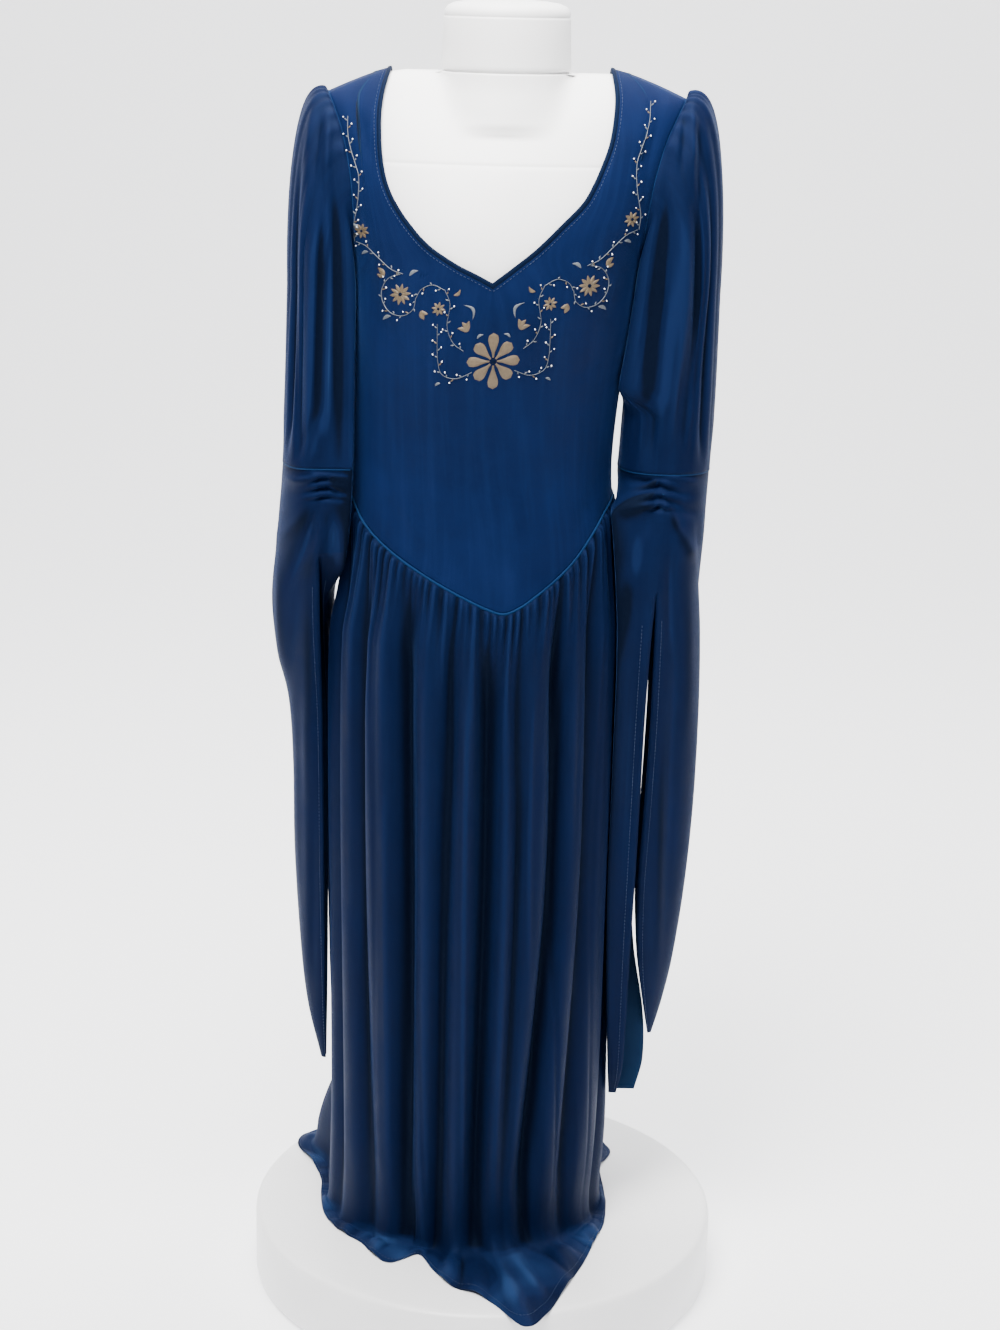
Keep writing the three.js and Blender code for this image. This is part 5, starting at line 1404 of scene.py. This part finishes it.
# Upper sleeves. Each is one piece of velvet, its head gathered into the armhole, then falling straight to
# a seam at the elbow.
ELBOW_HEIGHT = 982
BICEP_HEIGHT = 1190
SLEEVE_TABLES = {
    # height, outer edge, inner edge, half depth, its middle
    1: [(982, 251.5, 142, 58, 0), (1080, 253, 148, 59, 1), (1190, 253, 167, 59, 2)],
    -1: [(982, -260, -186, 72, 0), (1080, -256, -185, 68, 1), (1190, -253, -185, 62, 2)],
}
HEAD_PUFF = {1: (33, 26), -1: (31, 16)}
HEAD_LEAVE = 6
HEAD_SPREAD = 10
HEAD_FALL = 0.68
HEAD_EASE = 1.35
HEAD_OFFSET = 0.2
EDGE_PASSES = 12
GATHER_WIDEN = 1.2
ARM_SWELL = 3
UNDERARM_ARCH = 9
ARMHOLE_INSET = 0.985
SLEEVE_SQUARENESS = 0.85
SLEEVE_COLUMNS = 190
HEAD_ROWS = 58
ARM_ROWS = 52
ARM_FOLD_END = 60
ARM_FOLDS = [
    # place round the arm in degrees, width, depth
    (318, 9, 7), (288, 8, 5), (252, 9, 7), (118, 10, 6), (62, 9, 5),
]
SLEEVE_CREASES = {
    # start x, start height, end x, end height, width, depth (less than 0 is a ridge)
    1: [(221, 1392, 229, 1060, 6, 5.0), (208, 1345, 206, 1090, 10, -2.6), (186, 1350, 168, 1100, 6, 3.0),
        (186, 1290, 168, 1035, 6, 4.6), (199, 1210, 186, 1020, 6, -2.4), (241, 1310, 243, 1020, 5, -2.2),
        (213, 1120, 203, 1000, 6, 2.4), (228, 1080, 214, 995, 6, -1.8), (212, 1404, 214, 1330, 4, -3.0),
        (203, 1400, 200, 1330, 4, 2.6), (234, 1250, 236, 1060, 4, 1.6), (162, 1080, 158, 1000, 5, 2.2)],
    -1: [(-196, 1352, -190, 990, 7, 5.5), (-224, 1350, -228, 1010, 11, -3.0),
         (-209, 1306, -213, 1020, 5, 4.6), (-201, 1260, -203, 1030, 4, -2.0),
         (-240, 1330, -244, 1030, 5, 2.2), (-213, 1392, -222, 1300, 4, 2.4),
         (-222, 1398, -234, 1310, 4, -2.2), (-205, 1388, -206, 1300, 4, -2.0),
         (-231, 1180, -236, 1000, 4, 1.6), (-248, 1250, -251, 1040, 5, -1.8),
         (-204, 1060, -222, 985, 5, -2.0), (-218, 1050, -240, 990, 5, 1.8)],
}
REAR_SHIFT = (4, 34)
HUG_GAP = 3.0
HUG_LAP = 4.0
HUG_RAMP = 40
HUG_SHARPNESS = 3.2
SKIRT_SIDE = 965
SKIRT_SIDE_EASE = 30
SKIRT_ALLOWANCE = 4.5
HUGS = [
    # side, upper and lower end of a stretch where the sleeve lies against the body
    (1, 1300, 1046), (1, 972, 100), (-1, 1300, 806), (-1, 668, 100),
]
FINE_ARM_FOLDS = [
    # place, width, depth, drift down the arm in degrees
    (334, 5, 2.4, 6), (303, 4, 2.0, -7), (270, 5, -2.2, 5), (236, 5, 2.6, 8), (208, 6, -2.0, -6),
    (20, 6, 2.0, -8), (43, 5, -1.8, 6), (84, 5, 2.4, 5), (140, 6, 2.2, -6), (168, 5, 1.8, 6),
    (352, 5, -1.6, 5),
]
HEAD_GATHERS = [
    # side, place on the ring from the back shoulder round to the front one, width, height, length
    (1, 0.004, 0.010, 3.4, 0.5), (1, 0.030, 0.009, 2.6, 0.34), (1, 0.055, 0.010, 3.0, 0.55),
    (1, 0.085, 0.011, 2.2, 0.3), (1, 0.120, 0.012, 1.8, 0.45), (1, 0.996, 0.010, 3.8, 0.6),
    (1, 0.974, 0.009, 3.2, 0.42), (1, 0.951, 0.010, 3.6, 0.7), (1, 0.926, 0.010, 2.8, 0.4),
    (1, 0.898, 0.012, 2.6, 0.62), (1, 0.866, 0.012, 2.0, 0.4), (1, 0.83, 0.014, 1.8, 0.5),
    (-1, 0.006, 0.011, 2.8, 0.45), (-1, 0.034, 0.010, 2.4, 0.3), (-1, 0.062, 0.011, 2.6, 0.5),
    (-1, 0.095, 0.012, 2.0, 0.32), (-1, 0.13, 0.013, 1.6, 0.4), (-1, 0.992, 0.011, 3.0, 0.5),
    (-1, 0.968, 0.010, 2.6, 0.34), (-1, 0.943, 0.011, 3.0, 0.6), (-1, 0.915, 0.011, 2.6, 0.4),
    (-1, 0.884, 0.013, 2.4, 0.55), (-1, 0.85, 0.013, 2.0, 0.42), (-1, 0.81, 0.015, 1.8, 0.5),
]


def armhole_edge(side, share):
    """Points down the back of an armhole and up its front, with the way that leads off the bodice."""
    is_front = share >= 0.5
    turn = np.abs(2 * share - 1)
    level = UNDERARM_HEIGHT + (ARMHOLE_TOP - UNDERARM_HEIGHT) * (1 - np.cos(math.pi * turn)) / 2
    v = (level - SIDE_WAIST) / (ARMHOLE_TOP - SIDE_WAIST)
    ends = []
    for u in (1.0, ARMHOLE_INSET):
        front = body_point(*bodice_place(u * side + 0 * v, v, True))
        back = body_point(*bodice_place(u * side + 0 * v, v, False))
        ends.append(np.where(is_front[:, None], front, back))
    edge = ends[0]
    along = np.gradient(edge, axis=0)
    along = along / np.linalg.norm(along, axis=1, keepdims=True)
    away = ends[0] - ends[1]
    away = away - along * (away * along).sum(axis=1, keepdims=True)
    away = away / np.linalg.norm(away, axis=1, keepdims=True)
    return edge, away


def sleeve_ring(table, angle, height):
    """Point of a sleeve's rounded section at an angle round the arm and a height."""
    a = np.radians(angle)
    outer, inner = between(table, height, 1), between(table, height, 2)
    depth, back = between(table, height, 3), between(table, height, 4)
    cosine, sine = np.cos(a), np.sin(a)
    x = (outer + inner) / 2 + (outer - inner) / 2 * np.sign(cosine) * np.abs(cosine) ** SLEEVE_SQUARENESS
    y = back + depth * np.sign(sine) * np.abs(sine) ** SLEEVE_SQUARENESS
    return np.stack([x, y, height + 0 * x], axis=-1)


def arm_fold(angle, height):
    """Depth of the lengthwise folds at a place round the arm."""
    depth = 0 * angle
    for place, width, deep in ARM_FOLDS:
        depth = depth + deep * ridge_at(angle, place, width)
    for place, width, deep, drift in FINE_ARM_FOLDS:
        at = place + drift * (BICEP_HEIGHT - height) / 200
        depth = depth + deep * ridge_at(angle, at, width)
    return depth


def ahead_of_middle(sine):
    """1 on the front of a sleeve and 0 on its back."""
    return smooth(0.25 - sine * 3)


def hug_body(points, side, cosine, share):
    """Brings the inner part of a sleeve against the bodice's or skirt's side, so that they lie together."""
    x, y, height = points[..., 0], points[..., 1], points[..., 2]
    depth = np.where(y < 0, between(GIRTHS, height, FRONT), between(GIRTHS, height, BACK))
    bow = np.clip(np.abs(y) / depth, 0, 1) ** (2 / GIRTH_SQUARENESS)
    body_side = between(GIRTHS, height, MIDDLE) + side * between(GIRTHS, height, HALF) * np.sqrt(1 - bow)
    near = body_side + side * (HUG_GAP + SKIRT_ALLOWANCE * smooth((SKIRT_SIDE - height) / SKIRT_SIDE_EASE))
    rim = between(GIRTHS, height, MIDDLE) + side * (between(GIRTHS, height, HALF) - HUG_LAP)
    near = side * np.maximum(side * near, side * rim)
    gap = np.maximum(side * (x - near), 0)
    moved = points.copy()
    moved[..., 0] = x - side * gap * smooth(-cosine * HUG_SHARPNESS) * share
    return moved


def hug_share(side, height):
    """How closely a sleeve lies against the body at a height."""
    share = 0
    for own, high, low in HUGS:
        if own == side:
            share = np.maximum(share, smooth((high - height) / HUG_RAMP) * smooth((height - low) / HUG_RAMP))
    return share


def sleeve_relief(side, points, sine):
    """Lift of the listed creases on a sleeve's front, with like ones behind."""
    x, height = points[..., 0], points[..., 2]
    before = creased(SLEEVE_CREASES[side], x, height) * smooth(-sine * 4)
    behind = creased(SLEEVE_CREASES[side], x + REAR_SHIFT[0], height + REAR_SHIFT[1]) * smooth(sine * 4)
    return before + behind


def upper_sleeve_shape(side):
    """Grid of an upper sleeve, from the armhole over its gathered head and down to the elbow."""
    table = SLEEVE_TABLES[side]
    share = np.linspace(0, 1, SLEEVE_COLUMNS, endpoint=False)
    angle = share * 360
    start, away = armhole_edge(side, share)
    for _ in range(EDGE_PASSES):
        away = (np.roll(away, 1, axis=0) + away * 2 + np.roll(away, -1, axis=0)) / 4
    away = away / np.linalg.norm(away, axis=1, keepdims=True)
    a = start + away * HEAD_OFFSET
    heart = (UNDERARM_HEIGHT + ARMHOLE_TOP) / 2
    upward = (a[:, 2] - heart) / (ARMHOLE_TOP - heart)
    fullness = np.clip((upward + 1) / 2, 0, 1)
    sine = np.sin(np.radians(angle))
    outward = np.stack([side * np.cos(np.radians(angle)), sine, 0 * sine], axis=-1)
    b = sleeve_ring(table, angle, BICEP_HEIGHT + 0 * angle)
    b = b - outward * arm_fold(angle, BICEP_HEIGHT)[:, None]
    cosine = np.cos(np.radians(angle))
    b = hug_body(b, side, cosine, ahead_of_middle(sine))
    puff_out, puff_up = HEAD_PUFF[side]
    leave = a.copy()
    leave[:, 0] += side * (HEAD_LEAVE + (puff_out - HEAD_LEAVE) * fullness)
    leave[:, 1] += HEAD_SPREAD * sine * fullness
    leave[:, 2] += np.where(upward > 0, puff_up * upward, UNDERARM_ARCH * away[:, 2])
    arrive = b.copy()
    arrive[:, 0] += side * ARM_SWELL * fullness
    arrive[:, 2] += (a[:, 2] - b[:, 2]) * HEAD_FALL
    t = np.linspace(0, 1, HEAD_ROWS, endpoint=False)[:, None, None] ** HEAD_EASE
    head = a * (1 - t) ** 3 + leave * 3 * (1 - t) ** 2 * t + arrive * 3 * (1 - t) * t * t + b * t ** 3
    height = np.linspace(BICEP_HEIGHT, ELBOW_HEIGHT, ARM_ROWS)[:, None]
    arm = sleeve_ring(table, angle[None, :] + 0 * height, height + 0 * angle[None, :])
    fade = smooth((height - ELBOW_HEIGHT) / ARM_FOLD_END)
    arm = arm - outward[None] * (arm_fold(angle[None, :], height) * fade)[..., None]
    before = ahead_of_middle(sine)[None, :]
    arm = hug_body(arm, side, cosine[None, :], hug_share(side, height) * before)
    points = np.concatenate([head, arm])
    normal = surface_normals(points, around=True) * -side
    lift = np.zeros(points.shape[:2])
    stage = np.concatenate([t[:, 0, 0], np.ones(ARM_ROWS)])[:, None]
    for own, place, width, high, length in HEAD_GATHERS:
        if own != side:
            continue
        off = (share[None, :] - place + 0.5) % 1 - 0.5
        spread = width * (1 + stage * GATHER_WIDEN)
        lift += high * np.exp(-(off / spread) ** 2) * smooth(stage * 16) * np.exp(-(stage / length) ** 2)
    edge = smooth((points[..., 2] - ELBOW_HEIGHT) / 14) * smooth(stage * 14)
    lift = lift + sleeve_relief(side, points, sine[None, :]) * edge
    return points + normal * lift[..., None]


sleeve_ends = {}
for side, hand in ((-1, "left"), (1, "right")):
    shape = upper_sleeve_shape(side)
    sleeve_ends[hand] = shape[-1]
    piece = cloth_piece("velvet_sleeve_upper_" + hand, shape, velvet_sleeve, around=True, flip=side > 0)
    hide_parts("sleeve_upper_" + hand)


# Lower sleeves. Each hangs from the elbow seam as a wide cuff, drawn up at its front by a short line of
# ruching, and is slit below that, in front and behind, into two long tapering tails.
CUFF_TABLES = {
    # height, outer edge, slit, inner edge, half depth, its middle
    1: [(845, 243, 190, 151, 48, -28), (900, 247, 194, 147, 54, -20), (940, 249, 196, 144, 57, -10),
        (982, 251.5, 197, 142, 58, 0)],
    -1: [(880, -268, -212, -194, 62, -6), (940, -263, -214, -189, 70, -4), (982, -260, -216, -186, 72, 0)],
}
TAIL_TABLES = {
    # height, far edge, slit edge, extra reach of the rear slit edge, half depth, its middle
    (1, "outer"): [
        (245, 211, 206, 0, 5, -8), (290, 222, 198, 0, 17, -10), (350, 233, 189, 0, 26, -12),
        (450, 244, 184, 0, 33, -14), (560, 250, 187, 0, 37, -18), (680, 251, 190, 0, 40, -22),
        (780, 248, 190.5, 0, 44, -26), (845, 243, 190, 0, 48, -28),
    ],
    (1, "inner"): [
        (166, 162, 168, 24, 6, -20), (205, 158, 174, 28, 17, -22), (270, 156, 176, 24, 25, -24),
        (360, 156, 177, 8, 30, -27), (450, 157, 179, 0, 32, -30), (560, 157, 181, 0, 34, -32),
        (680, 157, 183, 0, 36, -34), (780, 156, 186, 0, 41, -34), (845, 151, 190, 0, 48, -28),
    ],
    (-1, "outer"): [
        (195, -213, -207, 0, 5, 2), (270, -230, -207, 0, 18, 1), (350, -239, -207, 0, 27, 0),
        (480, -247, -208, 0, 34, 0), (600, -249, -209, 0, 38, 0), (680, -254, -210, 0, 42, -1),
        (740, -267, -211, 0, 48, -2), (809, -274, -212, 0, 55, -4), (880, -268, -212, 0, 62, -6),
    ],
    (-1, "inner"): [
        (250, -199, -205, 0, 5, 64), (320, -196, -207, 0, 14, 66), (440, -195, -209, 0, 22, 68),
        (560, -196, -210, 0, 26, 68), (660, -198, -211, 0, 28, 62), (740, -203, -214, 0, 32, 50),
        (815, -200, -212, 0, 42, 18), (880, -194, -212, 0, 62, -6),
    ],
}
CUFF_CREASES = {
    # start x, start height, end x, end height, width, depth
    1: [(188, 984, 142, 1004, 5, -3.4), (186, 974, 146, 976, 6, 5.0), (184, 956, 148, 936, 8, -6.0),
        (190, 990, 238, 998, 5, 2.4), (192, 981, 236, 972, 6, -2.0), (191, 972, 234, 956, 6, 3.0),
        (190, 966, 214, 912, 5, -4.6), (212, 918, 232, 880, 9, -5.0), (196, 950, 244, 934, 8, 3.8),
        (184, 950, 180, 850, 4, -3.0), (176, 934, 158, 850, 7, 4.4), (204, 905, 212, 760, 7, 3.6),
        (226, 872, 238, 640, 9, -3.0), (236, 930, 246, 850, 5, 2.0), (162, 900, 152, 760, 6, -2.4),
        (216, 800, 222, 420, 8, 2.6), (206, 640, 214, 330, 6, -2.2), (168, 780, 166, 380, 6, 2.2)],
    -1: [(-208, 986, -184, 980, 4, 3.4), (-206, 976, -182, 960, 4, -4.6), (-206, 964, -184, 944, 5, 4.0),
         (-210, 973, -232, 986, 4, -3.4), (-214, 962, -262, 944, 8, 2.6), (-212, 968, -256, 966, 5, -2.6),
         (-207, 952, -252, 832, 7, 6.0), (-201, 930, -224, 850, 7, -5.0), (-214, 940, -266, 880, 9, -3.2),
         (-199, 940, -190, 850, 5, 3.4), (-236, 840, -252, 700, 9, 3.0), (-222, 850, -230, 560, 8, -3.0),
         (-262, 860, -262, 720, 6, -2.4), (-240, 700, -238, 380, 8, 2.6), (-220, 560, -222, 300, 6, 2.2)],
}
RUCHE_BARS = {
    # middle, top, bottom, reach, height of a bar, spacing
    1: (189, 1000, 942, 20, 4.0, 12.5), -1: (-206, 992, 946, 18, 3.8, 11.5),
}
RUCHE_PINCH = 4.4
RUCHE_LINE = 4
RUCHE_BEND = 0.35
REAR_CREASES = 0.7
TAIL_EASE = 1.25
TAIL_TIP_EASE = 60
ELBOW_EASE = 9
SLIT_START = 0.97
JOINT_FADE = 5
TAIL_COLUMNS = 66
TAIL_ROWS = 96
CUFF_ROWS = 62


def half_section(edge, far, reach, depth, back, height, turn):
    """Half of a sleeve's section, from its front slit edge round its far side to the rear one."""
    rearward = np.maximum(np.sin(turn), 0)
    start = edge + np.sign(edge) * reach * rearward
    bow = np.clip(np.cos(turn), 0, 1) ** SLEEVE_SQUARENESS
    x = start + (far - start) * bow
    return np.stack([x, back + depth * np.sin(turn), height + 0 * x], axis=-1)


def cuff_points(side, height, turn, is_outer):
    outer, slit, inner, depth, back = [between(CUFF_TABLES[side], height, column) for column in range(1, 6)]
    return half_section(slit, outer if is_outer else inner, 0 * slit, depth, back, height, turn)


def tail_points(side, name, height, turn):
    table = TAIL_TABLES[side, name]
    far, edge, reach, depth, back = [between(table, height, column) for column in range(1, 6)]
    return half_section(edge, far, reach, depth, back, height, turn)


def cuff_relief(side, points, turn):
    """Lift of the creases, and of the bars of the ruching with the drawn-in line at their middle."""
    x, height = points[..., 0], points[..., 2]
    lift = creased(CUFF_CREASES[side], x, height)
    middle, top, bottom, reach, bar, spacing = RUCHE_BARS[side]
    along = smooth((top + 4 - height) / 8) * smooth((height - bottom + 6) / 10)
    off = np.abs(x - middle)
    bars = np.cos((height + off * RUCHE_BEND) * 2 * math.pi / spacing)
    lift = lift + bar * bars * np.exp(-(off / reach) ** 2) * along
    lift = lift - RUCHE_PINCH * np.exp(-(off / RUCHE_LINE) ** 2) * along
    behind = creased(CUFF_CREASES[side], x + REAR_SHIFT[0], height - REAR_SHIFT[1]) * REAR_CREASES
    return lift * smooth(-np.sin(turn) * 4) + behind * smooth(np.sin(turn) * 4)


def lower_sleeve_pieces(side):
    """Grids of a lower sleeve's outer and inner half, each a tail with its half of the cuff above."""
    half_turn = np.linspace(-math.pi / 2, math.pi / 2, TAIL_COLUMNS + 1)[None, :]
    cuff_low = CUFF_TABLES[side][0][0]
    cuff_height = np.linspace(cuff_low, ELBOW_HEIGHT, CUFF_ROWS)[:, None]
    grids = {}
    for name, turn in (("outer", half_turn), ("inner", -half_turn)):
        foot = TAIL_TABLES[side, name][0][0]
        fall = np.linspace(0, 1, TAIL_ROWS, endpoint=False)[:, None]
        height = foot + (cuff_low - foot) * fall ** TAIL_EASE
        tail = tail_points(side, name, height + 0 * turn, turn + 0 * height)
        cuff = cuff_points(side, cuff_height + 0 * turn, turn + 0 * cuff_height, name == "outer")
        points = np.concatenate([tail, cuff])
        turns = turn + 0 * points[..., 0]
        if name == "inner":
            level = points[..., 2]
            before = ahead_of_middle(np.sin(turns))
            before = before + (1 - before) * smooth((cuff_low - level) / TAIL_TIP_EASE)
            points = hug_body(points, side, -np.cos(turns), hug_share(side, level) * before)
        lift = cuff_relief(side, points, turns) * smooth((ELBOW_HEIGHT - points[..., 2]) / ELBOW_EASE)
        lift = lift * smooth((points[..., 2] - foot) / TAIL_TIP_EASE)
        away = surface_normals(points) * side
        square = np.stack([0 * turns, np.sign(np.sin(turns)), 0 * turns], axis=-1)
        joint = smooth((np.abs(np.sin(turns)) - SLIT_START) / (1 - SLIT_START))[..., None]
        away = away * (1 - joint) + square * joint
        grids[name] = points + away * lift[..., None]
    return grids


def joined_sleeve(side, hand, halves):
    """The two tails and the cuff above them as one sheet, joined at the slit lines of the cuff."""
    points, quads, flats, folds = [], [], [], []
    count = 0
    for grid in halves:
        rows, columns = grid.shape[:2]
        quads.append(quads_of(np.arange(rows * columns).reshape(rows, columns) + count))
        count += rows * columns
        points.append(grid.reshape(-1, 3))
        flats.append(lay_uv(grid))
        edge = np.minimum(np.arange(columns), np.arange(columns)[::-1])
        folds.append((fold_values(grid, False, side > 0) * smooth(edge / JOINT_FADE)).reshape(-1))
    faces, flat = np.concatenate(quads), np.concatenate(flats)
    if side < 0:
        faces, flat = faces[:, ::-1], flat[:, ::-1]
    mesh = mesh_of("velvet_sleeve_lower_" + hand, to_metres(np.concatenate(points)), faces)
    mark_fold_shading(mesh, np.concatenate(folds))
    put_map(mesh, flat)
    weld(mesh, 0.00001)
    piece = walled(mesh, velvet_sleeve)
    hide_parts("sleeve_lower_" + hand)
    return piece


sleeve_halves = {}
for side, hand in ((-1, "left"), (1, "right")):
    grids = lower_sleeve_pieces(side)
    sleeve_halves[hand] = [grids["outer"], grids["inner"]]
    joined_sleeve(side, hand, sleeve_halves[hand])


# Seams and stitches. The armhole and elbow seams show as thin raised cords of lighter velvet. Small hand
# stitches in blue thread hold the neck binding, the turned edges of the sleeve slits and the skirt's hem.
STITCH_SIZE = (0.28, 2.6)
STITCH_STEP = 4.6
STITCH_LIFT = 0.75
ARMHOLE_CORD = 1.15
ARMHOLE_CORD_LIFT = 0.4
ELBOW_CORD = 0.95


def evenly(path, step, is_closed=False):
    """Points at even steps along a path of points, with their directions."""
    if is_closed:
        path = np.concatenate([path, path[:1]])
    run = np.concatenate([[0], np.cumsum(np.linalg.norm(np.diff(path, axis=0), axis=1))])
    at = np.linspace(0, run[-1], max(int(run[-1] / step), 4) + 1)
    if is_closed:
        at = at[:-1]

    def spot(distance):
        return np.stack([np.interp(distance, run, path[:, axis]) for axis in range(3)], axis=-1)

    along = spot(np.minimum(at + step / 3, run[-1])) - spot(np.maximum(at - step / 3, 0))
    return spot(at), along / np.linalg.norm(along, axis=1, keepdims=True)


def seam_cord(name, path, half, material):
    """A thin closed cord of cloth along a seam that runs all round."""
    centre = path.mean(axis=0)
    mesh = closed_tube(name, tube_points(path, path - centre, half, half, 6))
    mesh.materials.append(material)
    piece = add_object(name, mesh)
    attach(piece, "root")
    return piece


stitch_thread = thread_material("stitch_thread", (0.010, 0.030, 0.085), (0.004, 0.014, 0.045), 0.0)
for side, hand in ((-1, "left"), (1, "right")):
    hole, off = armhole_edge(side, np.linspace(0, 1, 181)[:-1])
    ring = hole + off * ARMHOLE_CORD_LIFT
    seam_cord("armhole_seam_" + hand, ring, ARMHOLE_CORD, velvet_lighter_cord)
    elbow, _ = evenly(sleeve_ends[hand], 4.0, is_closed=True)
    seam_cord("elbow_seam_" + hand, elbow, ELBOW_CORD, velvet_lighter_cord)


def stitch_line(path, outward, is_closed=False):
    """Places of a row of stitches on the cloth along a path, with their directions."""
    points, along = evenly(path, STITCH_STEP, is_closed)
    nearest = np.argmin(((points[:, None] - path[None]) ** 2).sum(axis=-1), axis=1)
    return points + outward[nearest] * STITCH_LIFT, along, outward[nearest]


def stitched(name, lines):
    """One object of all the stitches of several lines."""
    points, along, out = [np.concatenate(parts) for parts in zip(*lines)]
    return sewn_row(name, stitch_tree, points, along, out, *STITCH_SIZE, stitch_thread)


neck_row = neck_path - neck_away * (BINDING_LAP + BINDING_HALF_WIDTH + 1.0)
stitch_objects = [stitched("neck_stitches", [stitch_line(neck_row, neck_out, True)])]
for side, hand in ((-1, "left"), (1, "right")):
    lines = []
    for grid in sleeve_halves[hand]:
        outer_normal = surface_normals(grid) * side
        low = int(grid.shape[0] * TAIL_ROWS / (TAIL_ROWS + CUFF_ROWS)) - 4
        for column in (2, grid.shape[1] - 3):
            lines.append(stitch_line(grid[3:low, column], outer_normal[3:low, column]))
    stitch_objects.append(stitched("sleeve_stitches_" + hand, lines))
hem_lines = []
for panel in ("skirt_front", "skirt_back"):
    grid = skirt_shapes[panel]
    hem_lines.append(stitch_line(grid[5, 2:-2], surface_normals(grid)[5, 2:-2]))
stitch_objects.append(stitched("hem_stitches", hem_lines))
